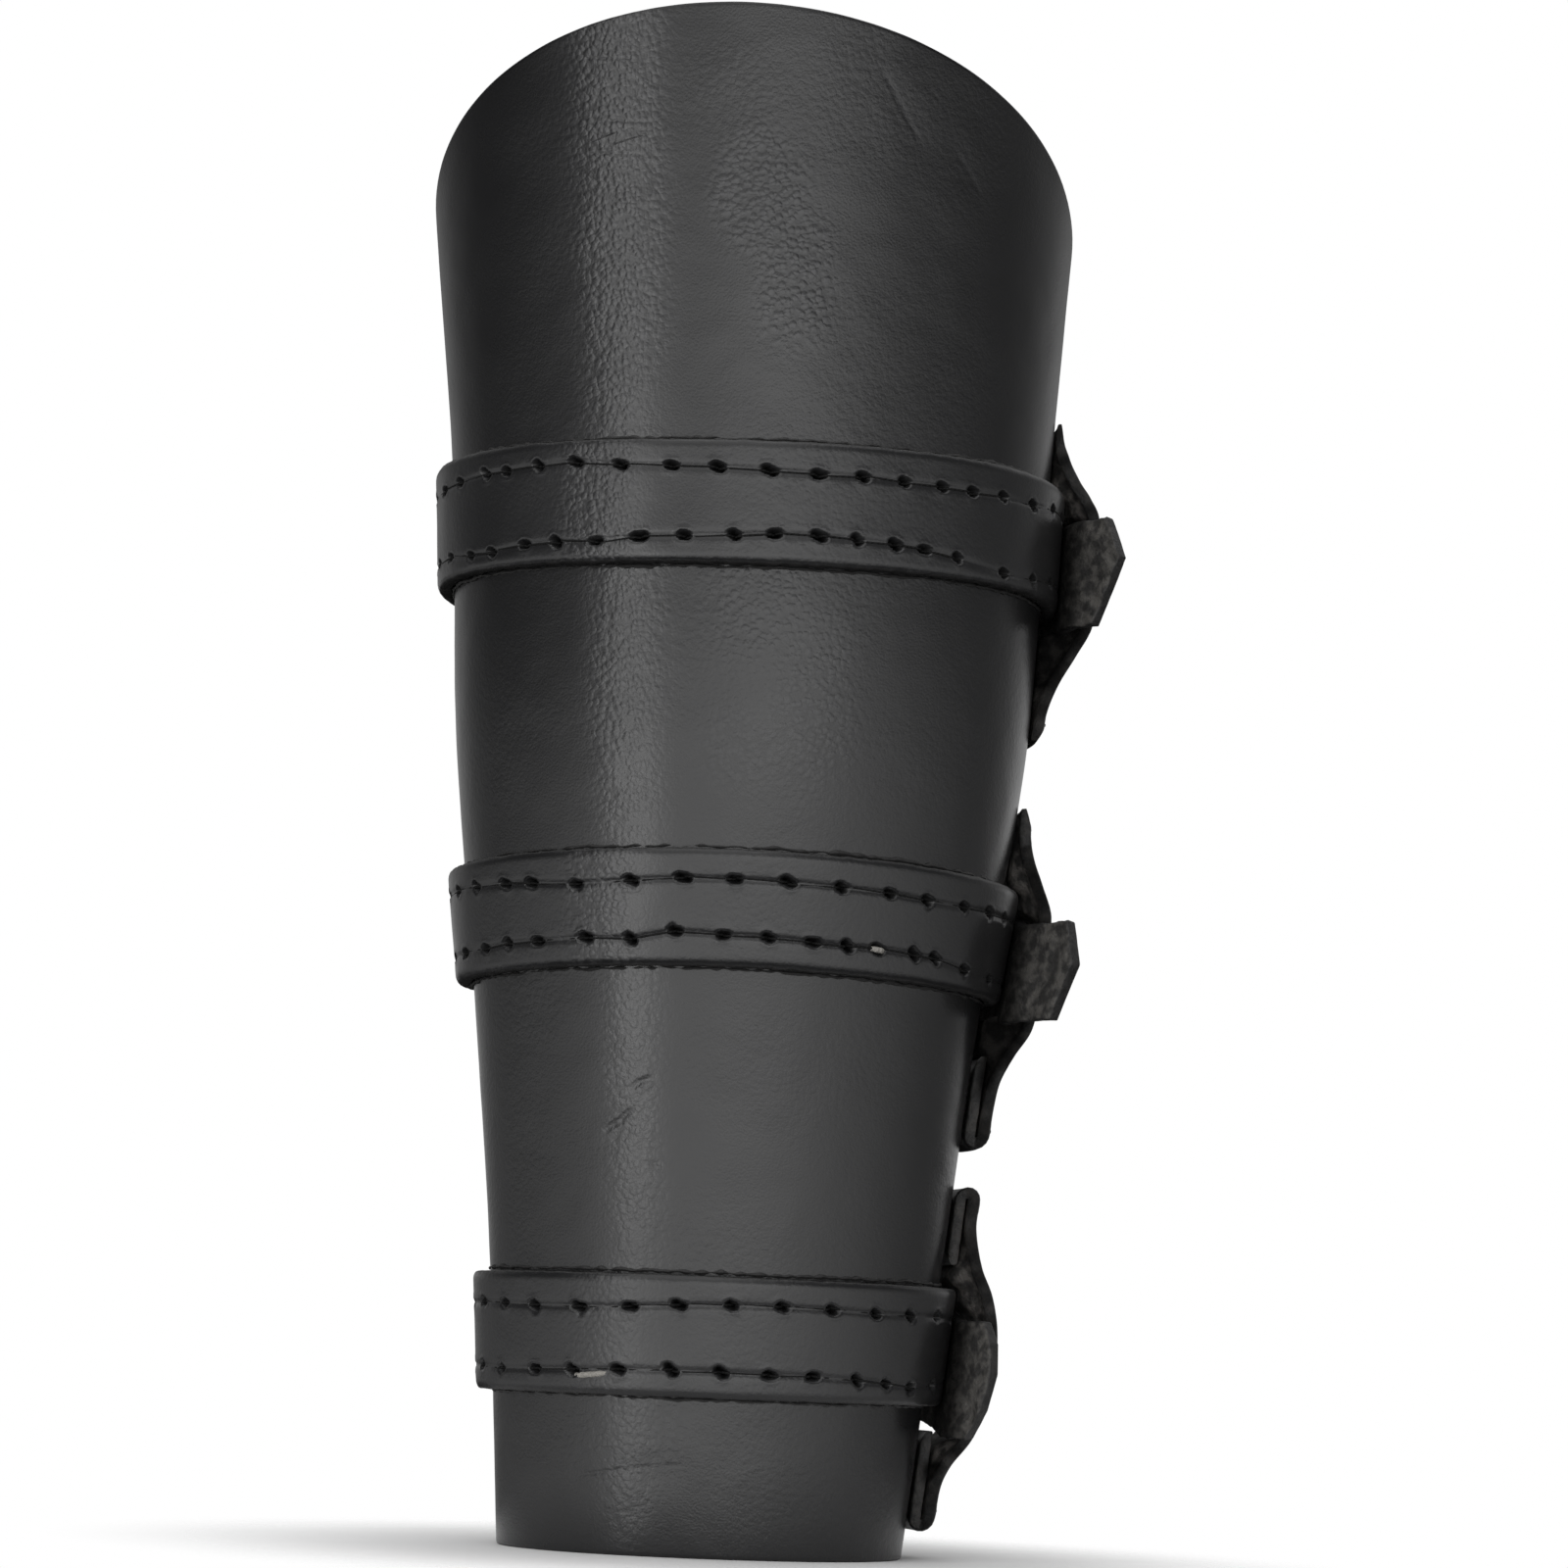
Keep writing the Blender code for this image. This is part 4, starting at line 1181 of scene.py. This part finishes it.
for number, strap in enumerate(straps):
    piece = buildStrap(strap)
    name = strap["name"]
    rows = strapRows(strap)
    faceOff = form["air"] + strapCut["thick"]
    spotRows = [[strapSpot(strap, a, b, faceOff) for a, b in row] for row in rows]
    guide = stitchGuide("stitches_" + name, spotRows)
    punch(piece, spotRows, guide, dict(stitches["holes"], Seed=1 + number), stitches["slit"])
    spareAt = [strap["once"] - buckle["barBack"] - past for past in spareHoles["places"]]
    spareRows = [[strapSpot(strap, along, lane, faceOff) for lane in (-0.05, 0.05)] for along in spareAt]
    spare = stitchGuide("spare_holes_" + name, spareRows)
    punch(piece, spareRows, spare, spareHoles["holes"], spareHoles["slit"])
    bpy.data.objects.remove(spare, do_unlink=True)
    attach(piece, "root")
    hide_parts("strap_" + name)
    sew("thread_" + name, guide, dict(stitches["thread"], Seed=11 + number))
    # Two stitches in pale thread, a painted highlight for glints on the thread
    if "glintThread" in strap:
        glintRow = [strapSpot(strap, a, b, faceOff) for a, b in strap["glintThread"]]
        bare = stitchGuide("bare_" + name, [glintRow])
        values = dict(stitches["glintThread"], Seed=51 + number)
        sew("thread_bare_" + name, bare, values, threadGlint)

    # The other side of the same seam shows inside the shell
    insideRows = [[strapSpot(strap, a, b, -shell["wall"]) for a, b in row] for row in rows]
    insideRows = [[(point, -outward) for point, outward in row] for row in insideRows]
    inside = stitchGuide("stitches_inside_" + name, insideRows)
    sew("thread_inside_" + name, inside, dict(stitches["threadInside"], Seed=21 + number))
    print("strap", name, "built,", len(piece.data.polygons), "faces,", sum(map(len, rows)), "holes")


def wire(name, points, radii, closed, sides, material):
    # a round bar swept along the points, without twist
    points = np.array(points)
    count = len(points)
    if closed:
        ahead = np.roll(points, -1, axis=0) - np.roll(points, 1, axis=0)
    else:
        ahead = np.gradient(points, axis=0)
    ahead /= np.linalg.norm(ahead, axis=1)[:, None]
    first = np.cross(ahead[0], (0.0, 0.0, 1.0) if abs(ahead[0][2]) < 0.9 else (1.0, 0.0, 0.0))
    normals = [first / np.linalg.norm(first)]
    for index in range(1, count):
        carried = normals[-1] - ahead[index] * (normals[-1] @ ahead[index])
        normals.append(carried / np.linalg.norm(carried))
    normals = np.array(normals)
    if closed:  # spread the twist that is left over all rings
        carried = normals[-1] - ahead[0] * (normals[-1] @ ahead[0])
        carried /= np.linalg.norm(carried)
        left = math.atan2(np.cross(carried, normals[0]) @ ahead[0], carried @ normals[0])
    else:
        left = 0.0
    others = np.cross(ahead, normals)
    ring = 2 * math.pi * np.arange(sides) / sides
    rings = []
    for index in range(count):
        swing = ring + left * index / count
        across = np.cos(swing)[:, None] * normals[index] + np.sin(swing)[:, None] * others[index]
        rings.append(points[index] + radii[index] * across)
    vertices = np.concatenate(rings)
    quads = []
    for index in range(count if closed else count - 1):
        here, there = index * sides, (index + 1) % count * sides
        for step in range(sides):
            nextStep = (step + 1) % sides
            quads.append((here + step, here + nextStep, there + nextStep, there + step))
    if not closed:
        quads.append(tuple(reversed(range(sides))))
        quads.append(tuple((count - 1) * sides + step for step in range(sides)))
    mesh = bpy.data.meshes.new(name)
    mesh.from_pydata(((vertices + form["axis"]) * mm).tolist(), [], quads)
    mesh.shade_smooth()
    mesh.set_sharp_from_angle(angle=math.radians(50))
    return addPiece(name, mesh, material)


# Edge dye and cement that came out beside the straps' edges, and the contact shadow there as painted
# shadow: a thin, broken, lumpy dark line on the shell
edgeLine = {"radius": 0.28, "varies": 1.3, "step": 0.4, "above": 0.6, "below": 0.2}


def dyeAndShadowLine(name, strap, side, aside):
    half = strap["width"] / 2 + aside
    alongs = np.arange(-4.0, 0.52 * strap["once"], edgeLine["step"])
    flat = np.stack([alongs, 0 * alongs + strap["height"], 0 * alongs + side], axis=-1)
    lane = side * (half + 0.22 * wander(flat, 2.6, 61) + 0.12 * wander(flat, 1.1, 62))
    lumpy = 1 + edgeLine["varies"] * wander(flat, 1.5, 63) + 0.8 * wander(flat, 9.0, 64)
    points = strapPlace(strap, -alongs, 0.05, lane, -alongs)
    return wire(name, points, edgeLine["radius"] * np.clip(lumpy, 0.1, 2.5), False, 6, dyeAndShadowBlack)


for strap in straps:
    for word, side in (("above", 1), ("below", -1)):
        line = dyeAndShadowLine("edge_dye_" + word + "_" + strap["name"], strap, side, edgeLine[word])
        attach(line, "root")
print("edge dye lines made")

# Keepers: upright strips over the strap and its tail, sewn to the shell at both ends. Rows are the
# outer face from the top down: height and distance off the shell; leaves are the ends turned under
keeperCut = {
    "thick": 2.1,
    "front": 1.5,
    "width": 14.0,
    "leafGap": 0.25,
    "bevel": 0.8,
    "bevelDepth": 0.45,
    "fleshRound": 0.5,
    "fleshDepth": 0.25,
    "edgeSteps": (0.0, 0.1, 0.3, 0.6, 1.0),  # of the mesh, from a cut edge inwards
    "step": 0.5,
    "lanes": 20,
    "cutReach": 0.25,
    "pressReach": 2.6,
    "pebbled": 0.3,
}
keepers = {
    "upper": {
        "face": [
            (194.8, 2.5), (190.0, 2.7), (184.6, 5.3), (181.4, 7.6), (178.0, 9.3), (168.5, 9.4),
            (159.5, 9.4), (154.4, 7.1), (149.1, 4.4), (144.0, 2.8), (139.0, 2.5),
        ],
        # past its front edge the strip is pressed down to this
        "pressed": [
            (194.8, 2.5), (185.0, 2.5), (183.2, 3.2), (181.6, 5.5), (179.6, 6.4), (178.0, 8.7),
            (168.5, 9.2), (159.6, 9.1), (158.6, 7.6), (157.8, 4.4), (157.0, 2.6), (139.0, 2.5),
        ],
        "leaves": (0.0, 0.0),
        "pared": [(6.5, 1.35), (2.4, 1.0)],  # reach and depth at the top and the bottom end
        "shadedHeights": (148.0, 160.0),  # heights between which the keeper's inside is darkened as painted shade
    },
    "middle": {
        "face": [
            (127.2, 2.5), (122.6, 3.0), (118.3, 4.4), (113.4, 6.9), (108.4, 9.2), (99.5, 9.7), (89.8, 9.5),
            (85.0, 7.2), (80.5, 5.4), (76.0, 4.9), (68.7, 4.8),
        ],
        "pressed": [
            (127.2, 2.5), (116.5, 2.5), (114.4, 3.2), (112.8, 5.5), (110.2, 6.3), (108.4, 8.7), (99.5, 9.2),
            (93.0, 9.3), (92.2, 7.6), (91.4, 4.4), (90.6, 3.0), (84.8, 3.0), (83.4, 4.4), (82.0, 4.8),
            (68.7, 4.8),
        ],
        "leaves": (0.0, 14.5),
        "pared": [(3.4, 1.1), (2.4, 1.0)],
        "shadedHeights": (79.0, 91.0),
    },
    "lower": {
        "face": [
            (62.3, 4.8), (55.0, 4.9), (48.4, 6.9), (43.7, 9.3), (38.1, 10.9), (31.5, 11.4), (24.9, 10.7),
            (20.0, 9.0), (16.0, 6.4), (12.4, 5.1), (4.6, 4.8),
        ],
        "pressed": [
            (62.3, 4.8), (51.0, 4.8), (49.6, 4.2), (48.2, 3.2), (46.8, 3.6), (45.6, 5.5), (43.0, 6.4),
            (40.6, 8.8), (38.1, 10.0), (31.5, 10.6), (24.9, 10.2), (20.4, 9.0), (18.6, 5.6), (17.2, 4.8),
            (4.6, 4.8),
        ],
        "leaves": (12.0, 15.5),
        "pared": [(2.4, 1.0), (2.4, 1.0)],
        "shadedHeights": (14.0, 16.0),
    },
}


def keeperRoute(keeper):
    half = keeperCut["thick"] / 2
    inner = form["air"] + half
    fold = (keeperCut["thick"] + keeperCut["leafGap"]) / 2
    rows = keeper["face"]
    topLeaf, bottomLeaf = keeper["leaves"]
    route = []
    if topLeaf:
        top = rows[0][0] - half - fold
        route += [(top + half - topLeaf, inner), (top - topLeaf / 2, inner)]
        for step in range(9):
            swing = math.radians(-90 + 22.5 * step)
            route.append((top + fold * math.cos(swing), inner + fold + fold * math.sin(swing)))
        rows = rows[1:]
    lowest = rows[-1][0]
    if bottomLeaf:
        rows = rows[:-1]
    route += [(height, face - half) for height, face in rows]
    if bottomLeaf:
        low = lowest + half + fold
        for step in range(9):
            swing = math.radians(90 + 22.5 * step)
            route.append((low + fold * math.cos(swing), inner + fold + fold * math.sin(swing)))
        route += [(low + bottomLeaf / 2, inner), (low - half + bottomLeaf, inner)]
    return np.array(route)


def paredDrop(keeper, fromTop, fromBottom):
    # how much is pared off the outer side towards the two ends
    (topReach, topDepth), (bottomReach, bottomDepth) = keeper["pared"]
    drop = topDepth * np.clip(1 - fromTop / topReach, 0, 1) ** 1.3
    return drop + bottomDepth * np.clip(1 - fromBottom / bottomReach, 0, 1) ** 1.6


def buildKeeper(strap, keeper):
    route = keeperRoute(keeper)
    run = np.concatenate([[0.0], np.cumsum(np.hypot(*np.diff(route, axis=0).T))])
    table = np.column_stack([run, route])
    near = np.array(keeperCut["edgeSteps"])
    even = np.linspace(1.5, run[-1] - 1.5, round(run[-1] / keeperCut["step"]))
    places = np.concatenate([near, even, run[-1] - near[::-1]])
    height, off = smoothValue(table, 1, places), smoothValue(table, 2, places)
    wayUp, wayOff = np.gradient(height, places), np.gradient(off, places)
    length = np.hypot(wayUp, wayOff)
    wayUp, wayOff = wayUp / length, wayOff / length
    width = keeperCut["width"]
    even = np.linspace(1.5, width - 1.5, keeperCut["lanes"])
    lanes = np.concatenate([near, even, width - near[::-1]])[None, :]
    toEnd = np.minimum(places, run[-1] - places)[:, None]
    distance = np.minimum(np.minimum(lanes, width - lanes), toEnd)
    flat = [places[:, None] + 0 * lanes, lanes + 0 * places[:, None], 0 * distance + strap["height"]]
    flat = np.stack(flat, axis=-1)
    stray = 0.24 * wander(flat, 1.6, 51) + 0.2 * wander(flat, 4.5, 52)
    stray = stray * smoothStep(1 - distance / 1.0) * np.where(lanes > width / 2, 1, -1)

    face, lowFace = (np.array(keeper[key])[::-1] for key in ("face", "pressed"))
    lower = smoothValue(face, 1, height) - smoothValue(lowFace, 1, height)
    outerLeaf = off > keeperCut["thick"] + form["air"] if max(keeper["leaves"]) else off > 0
    pressed = (np.maximum(lower, 0) * outerLeaf)[:, None]
    pressed = pressed * smoothStep((lanes - 0.3) / keeperCut["pressReach"])

    def side(which, inset):
        square = which * (keeperCut["thick"] / 2 - inset)
        angle = lapAngle(strap["lap"], keeperCut["front"] + lanes + stray)
        upright = height[:, None] + wayOff[:, None] * square
        outward = off[:, None] - wayUp[:, None] * square
        return formPoint(angle, upright, outward - pressed)

    endDrop = paredDrop(keeper, places, run[-1] - places)[:, None]
    grain = side(1, np.maximum(roundDrop(distance, keeperCut["bevel"], keeperCut["bevelDepth"]), endDrop))
    fleshDrop = roundDrop(distance, keeperCut["fleshRound"], keeperCut["fleshDepth"])
    flesh = side(-1, fleshDrop + 0.05 + 0.05 * wander(flat, 1.5, 53))
    cut = smoothStep(1 - distance / keeperCut["cutReach"])
    # Painted shade inside the keeper's hollow between those heights
    low, high = keeper["shadedHeights"]
    hollowShadeAndDarkEdges = 0.85 * smoothStep((height - low + 3) / 4) * smoothStep((high + 1 - height) / 2)
    # The outer leaf's cut edges are darker in patches
    darkEdgePatches = cut * outerLeaf[:, None] * np.clip(0.45 + 0.5 * wander(flat, 3.0, 55), 0.1, 0.8)
    hollowShadeAndDarkEdges = np.maximum(hollowShadeAndDarkEdges[:, None] + 0 * distance, darkEdgePatches)
    marks = {"cut": (cut, cut), "pit": (darkEdgePatches, hollowShadeAndDarkEdges), "pebbled": (keeperCut["pebbled"], 0.0)}
    shut = np.ones((len(places) - 1, lanes.shape[1] - 1), bool)
    return leatherBody("keeper_" + strap["name"] + "_leather", grain, flesh, shut, marks, keeperLeather)


def keeperSpot(strap, keeper, height, lane):
    # a point on the keeper's outer face, and the way out from it
    faces = np.array(keeper["face"])[::-1]

    def at(height, lane):
        angle = lapAngle(strap["lap"], keeperCut["front"] + lane)
        pared = paredDrop(keeper, faces[-1][0] - height, height - faces[0][0])
        return formPoint(angle, np.float64(height), smoothValue(faces, 1, height) - pared)

    point = at(height, lane)
    upward = at(height + 0.5, lane) - at(height - 0.5, lane)
    outward = np.cross(upward, at(height, lane - 0.5) - at(height, lane + 0.5))
    outward /= np.linalg.norm(outward)
    angle = lapAngle(strap["lap"], keeperCut["front"] + lane)
    side = formPoint(angle, np.float64(height), 1.0) - formPoint(angle, np.float64(height), 0.0)
    return point, outward if outward @ side > 0 else -outward


keeperStitches = {
    "lanes": (2.0, 4.5, 7.0, 9.5, 12.0),
    "fromEnd": 3.2,
    "holes": {
        "Radius": 0.9, "Depth": 1.0, "Dish Reach": 1.7, "Dish Depth": 0.15, "Groove Reach": 0.7,
        "Groove Depth": 0.25, "Ragged": 0.3,
    },
    "slit": (0.4, 20.0),
    "thread": {"Stitch": 2.5, "Dive": 0.7, "Proud": 0.0, "Thickness": 0.75, "Turn In": 0.25},
}

for number, strap in enumerate(straps):
    keeper = keepers[strap["name"]]
    piece = buildKeeper(strap, keeper)
    top, bottom = keeper["face"][0][0], keeper["face"][-1][0]
    draw = random.Random("keeper" + strap["name"])
    rows = []
    for height in (top - keeperStitches["fromEnd"], bottom + keeperStitches["fromEnd"]):
        row = []
        for lane in keeperStitches["lanes"]:
            shaken = height + draw.uniform(-0.25, 0.25)
            row.append(keeperSpot(strap, keeper, shaken, lane + draw.uniform(-0.2, 0.2)))
        rows.append(row)
    guide = stitchGuide("keeper_stitches", rows)
    punch(piece, rows, guide, dict(keeperStitches["holes"], Seed=31 + number), keeperStitches["slit"])
    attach(piece, "root")
    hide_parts("keeper_" + strap["name"])
    thread = dict(keeperStitches["thread"], Seed=41 + number)
    sew("keeper_thread_" + strap["name"], guide, thread)
    print("keeper", strap["name"], "built,", len(piece.data.polygons), "faces")

# Buckles: a frame of bent wire with its prong curled round the bar
metalFinish = {
    "colour": "#2a2a2c",
    "mottled": "#4c4c50",
    "mottle": 3.0,
    "detail": 4.0,
    "roughness": 0.38,
    "pit": 0.25,
    "pitDepth": 0.02,
}


def blackenedSteel(name, finish):
    # Mild steel wire, chemically blackened and oiled: dark satin metal that goes greyer where rubbed
    material, tree, shader, rubbed, place = mottledMaterial(name, finish)
    rough = addNode(tree, "ShaderNodeMapRange", {
        "Value": rubbed.outputs["Fac"], "From Min": 0.3, "From Max": 0.7,
        "To Min": finish["roughness"] + 0.12, "To Max": finish["roughness"] - 0.08
    })
    pitted = addNode(tree, "ShaderNodeTexNoise", {
        "Vector": place, "Scale": 1 / (finish["pit"] * mm), "Detail": 2.0
    })
    bump = addNode(tree, "ShaderNodeBump", {
        "Strength": 0.5, "Distance": finish["pitDepth"] * mm, "Height": pitted.outputs["Fac"]
    })
    tree.links.new(rough.outputs[0], shader.inputs["Roughness"])
    tree.links.new(bump.outputs["Normal"], shader.inputs["Normal"])
    shader.inputs["Metallic"].default_value = 1.0
    return material


steel = blackenedSteel("blackenedSteelWire", metalFinish)


def buildBuckle(strap):
    lap = strap["lap"]
    angle = lapAngle(lap, buckle["barBack"])
    middle = strap["height"] + strap["sideRise"] * math.sin(angle) ** 2
    heel = formPoint(angle, middle, barOff)
    far = formPoint(lapAngle(lap, buckle["barBack"] + buckle["length"]), middle, farBarOff)
    up = formPoint(angle, middle + 10) - formPoint(angle, middle - 10)
    up /= np.linalg.norm(up)
    length = np.linalg.norm(far - heel)
    along = (far - heel) / length
    half = strap["width"] / 2 + buckle["sideRoom"] + buckle["wire"]
    corner = buckle["corner"]
    path = []
    for sideX, sideY, first in ((1, 1, 0), (0, 1, 90), (0, -1, 180), (1, -1, 270)):
        for swing in np.radians(first + np.linspace(0, 90, 10)):
            x = sideX * length + (corner if sideX == 0 else -corner) + corner * math.cos(swing)
            y = sideY * (half - corner) + corner * math.sin(swing)
            path.append(heel + along * x + up * y)
    dense = []
    for index, point in enumerate(path):
        following = path[(index + 1) % len(path)]
        steps = max(1, round(np.linalg.norm(following - point) / 1.5))
        dense += [point + (following - point) * step / steps for step in range(steps)]
    radii = [buckle["wire"]] * len(dense)
    framePiece = wire("buckle_frame_" + strap["name"], dense, radii, True, 20, steel)

    outward = formPoint(angle, middle, 1.0) - formPoint(angle, middle, 0.0)
    eye = buckle["wire"] + buckle["prong"]
    overFar = farBarOff + buckle["wire"] + 0.05 + buckle["prong"] * 0.8
    pin = [
        (3.2, barOff + 1.9), (4.6, barOff + 2.6), (6.6, barOff + 3.9), (9.2, overFar - 0.35),
        (11.5, overFar - 0.1), (buckle["length"], overFar), (buckle["length"] + 1.6, overFar - 0.25)
    ]
    swings = np.radians(np.linspace(-35, -290, 24))
    loop = [heel + along * eye * math.cos(swing) + outward * eye * math.sin(swing) for swing in swings]
    reach = [formPoint(lapAngle(lap, buckle["barBack"] + back), middle, off) for back, off in pin]
    knots = np.array(loop + reach)
    run = np.concatenate([[0.0], np.cumsum(np.linalg.norm(np.diff(knots, axis=0), axis=1))])
    table = np.column_stack([run, knots])
    places = np.linspace(0, run[-1], 70)
    path = np.stack([smoothValue(table, column, places) for column in (1, 2, 3)], axis=-1)
    radii = buckle["prong"] * (1 - 0.35 * smoothStep((places - run[-1] + 9) / 9))
    radii[-3:] *= (0.92, 0.75, 0.45)
    prongPiece = wire("buckle_prong_" + strap["name"], path, radii, False, 14, steel)
    return framePiece, prongPiece


for strap in straps:
    framePiece, prongPiece = buildBuckle(strap)
    for piece in (framePiece, prongPiece):
        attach(piece, "root")
    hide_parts("buckle_" + strap["name"])
print("buckles built")

# Studio: a pale floor, a tall soft strip light to the left, and white walls lit more in front
studio = {
    "floorSize": 0.7,  # metres; the floor fades into the white backdrop towards its edge
    "floorFade": 0.045,
    "floorEnd": 0.115,
    "paper": {
        "colour": "#efefef",
        "mottled": "#e2e2e2",
        "mottle": 100 / 3,
        "detail": 2.0,
        "roughness": 0.9,
    },
    "strip": {
        "azimuth": -39.3,
        "elevation": 12.0,
        "distance": 1.2,
        "size": (0.19, 1.1),
        "power": 2.05,
        "lean": 15.0,
    },
    "aim": (0.0, 0.0, 0.13),
    # Light from the walls comes in bands: the elevations at which a band starts, is brightest and ends,
    # then its brightness all round, by azimuth from the front. This one is at eye level
    "lowBand": (-7, 4, 16),
    "lowWalls": [
        (-165, 0.7), (-150, 0.5), (-130, 0.26), (-110, 0.05), (-90, 0.1), (-76, 0.2), (-57, 0.3),
        (-49, 0.4), (-41, 0.9), (-33, 1.6), (-25, 1.8), (-16, 1.8), (-6, 2.6), (4, 3.3), (14, 3.5),
        (24, 3.0), (34, 2.4), (45, 1.35), (60, 0.85), (75, 0.56), (90, 0.35), (105, 0.15), (120, 0.25),
        (135, 0.45), (150, 0.95), (165, 0.8),
    ],
    # Higher up
    "highBand": (4, 38, 75),
    "highWalls": [
        (-150, 0.62), (-120, 0.33), (-95, 0.02), (-60, 0.02), (-45, 0.8), (-30, 1.5), (-15, 1.1), (0, 1.6),
        (15, 1.3), (30, 0.3), (45, 0.05), (90, 0.1), (120, 0.75), (150, 0.7), (165, 0.5),
    ],
    # Off the floor, below the horizon
    "glowBand": (-35, -9, 4),
    "floorGlow": [
        (-145, 0.0), (-60, 1.5), (-50, 1.9), (-44, 2.1), (-36, 2.8), (-28, 2.9), (-20, 2.35), (0, 2.25),
        (25, 2.0), (60, 1.4), (90, 0.7), (135, 0.0),
    ],
    "ceilingFrom": (45, 85),
    "ceiling": 2.7,
}


def addSoftbox(name, look):
    light = bpy.data.lights.new(name, "AREA")
    light.shape = "RECTANGLE"
    light.size, light.size_y = look["size"]
    light.energy = look["power"]
    azimuth, elevation = math.radians(look["azimuth"]), math.radians(look["elevation"])
    level = math.cos(elevation)
    aside = Vector((math.sin(azimuth) * level, -math.cos(azimuth) * level, math.sin(elevation)))
    lamp = bpy.data.objects.new(name, light)
    lamp.location = Vector(studio["aim"]) + aside * look["distance"]
    lamp.rotation_mode = "QUATERNION"
    lean = Euler((0.0, 0.0, math.radians(look["lean"]))).to_quaternion()
    lamp.rotation_quaternion = aside.to_track_quat("Z", "Y") @ lean
    bpy.context.scene.collection.objects.link(lamp)


addSoftbox("strip_light", studio["strip"])

world = bpy.data.worlds.new("studioRoom")
bpy.context.scene.world = world
world.use_nodes = True
tree = world.node_tree
direction = addNode(tree, "ShaderNodeTexCoord").outputs["Generated"]
parts = addNode(tree, "ShaderNodeSeparateXYZ", {0: direction})
forward = addNode(tree, "ShaderNodeMath", {0: parts.outputs["Y"], 1: -1.0}, operation="MULTIPLY")
azimuth = addNode(tree, "ShaderNodeMath", {0: parts.outputs["X"], 1: forward}, operation="ARCTAN2")
elevation = addNode(tree, "ShaderNodeMath", {0: parts.outputs["Z"]}, operation="ARCSINE")
# 0 to 1 round the room, with the front in the middle
allRound = addNode(tree, "ShaderNodeMapRange", {
    "Value": azimuth, "From Min": -math.pi, "From Max": math.pi
})


def wallBrightness(stops):
    # brightness round the room, from a table of azimuths in degrees
    most = max(value for place, value in stops)
    ramp = addNode(tree, "ShaderNodeValToRGB", {"Fac": allRound})
    elements = ramp.color_ramp.elements
    while len(elements) < len(stops):
        elements.new(0.5)
    for element, (place, value) in zip(elements, stops):
        element.position = place / 360 + 0.5
        element.color = (value / most, value / most, value / most, 1.0)
    return addNode(tree, "ShaderNodeMath", {0: ramp.outputs["Color"], 1: most}, operation="MULTIPLY")


def between(fromDegrees, toDegrees):
    # 0 at the first elevation and 1 at the second
    limits = {
        "Value": elevation, "From Min": math.radians(fromDegrees), "From Max": math.radians(toDegrees)
    }
    return addNode(tree, "ShaderNodeMapRange", limits)


lit = 0.0
for band, walls in (("lowBand", "lowWalls"), ("highBand", "highWalls"), ("glowBand", "floorGlow")):
    start, middle, end = studio[band]
    inBand = addNode(tree, "ShaderNodeMath", {
        0: between(start, middle), 1: between(end, middle)
    }, operation="MINIMUM")
    lit = addNode(tree, "ShaderNodeMath", {
        0: wallBrightness(studio[walls]), 1: inBand, 2: lit
    }, operation="MULTIPLY_ADD")
lit = addNode(tree, "ShaderNodeMath", {
    0: between(*studio["ceilingFrom"]), 1: studio["ceiling"], 2: lit
}, operation="MULTIPLY_ADD")
# The backdrop itself is white all round
seen = addNode(tree, "ShaderNodeLightPath").outputs["Is Camera Ray"]
strength = addNode(tree, "ShaderNodeMix", {0: seen, 2: lit, 3: 1.0}, data_type="FLOAT")
tree.links.new(strength.outputs[0], tree.nodes["Background"].inputs["Strength"])
tree.nodes["Background"].inputs["Color"].default_value = (1.0, 1.0, 1.0, 1.0)

# Seamless paper: rolled matt and very slightly mottled
paper, tree, shader, mottle, place = mottledMaterial("seamlessPaper", studio["paper"])
outward = addNode(tree, "ShaderNodeVectorMath", {0: place}, operation="LENGTH")
fade = addNode(tree, "ShaderNodeMapRange", {
    "Value": outward.outputs["Value"], "From Min": studio["floorFade"], "From Max": studio["floorEnd"]
}, **soft)
clear = addNode(tree, "ShaderNodeBsdfTransparent")
faded = addNode(tree, "ShaderNodeMixShader", {0: fade, 1: shader, 2: clear})
tree.links.new(faded.outputs[0], tree.nodes["Material Output"].inputs["Surface"])
half = studio["floorSize"] / 2
floorMesh = bpy.data.meshes.new("floor")
corners = [(-half, -half, 0), (half, -half, 0), (half, half, 0), (-half, half, 0)]
floorMesh.from_pydata(corners, [], [(0, 1, 2, 3)])
floor = addPiece("floor", floorMesh, paper)

view = {
    "distance": 0.68,  # metres from the form's axis
    "height": 0.030,
    "yaw": 4.5,  # degrees towards the keepers' side
    "pan": -0.789,
    "pitch": 8.369,
    "roll": 2.261,
    "lens": 91.8,
}
camera = bpy.data.cameras.new("camera")
camera.lens = view["lens"]
camera.sensor_width = 36.0
camera.clip_start = 0.01
cameraObject = bpy.data.objects.new("camera", camera)
yaw = math.radians(view["yaw"])
cameraObject.location = (
    form["axis"][0] * mm + view["distance"] * math.sin(yaw),
    form["axis"][1] * mm - view["distance"] * math.cos(yaw), view["height"]
)
heading = math.radians(view["yaw"] + view["pan"])
pitch = math.pi / 2 + math.radians(view["pitch"])
turned = Matrix.Rotation(heading, 3, "Z") @ Matrix.Rotation(pitch, 3, "X")
turned = turned @ Matrix.Rotation(math.radians(view["roll"]), 3, "Z")
cameraObject.rotation_euler = turned.to_euler()
bpy.context.scene.collection.objects.link(cameraObject)
bpy.context.scene.camera = cameraObject
bpy.context.scene.view_settings.view_transform = "Standard"
print("studio set")
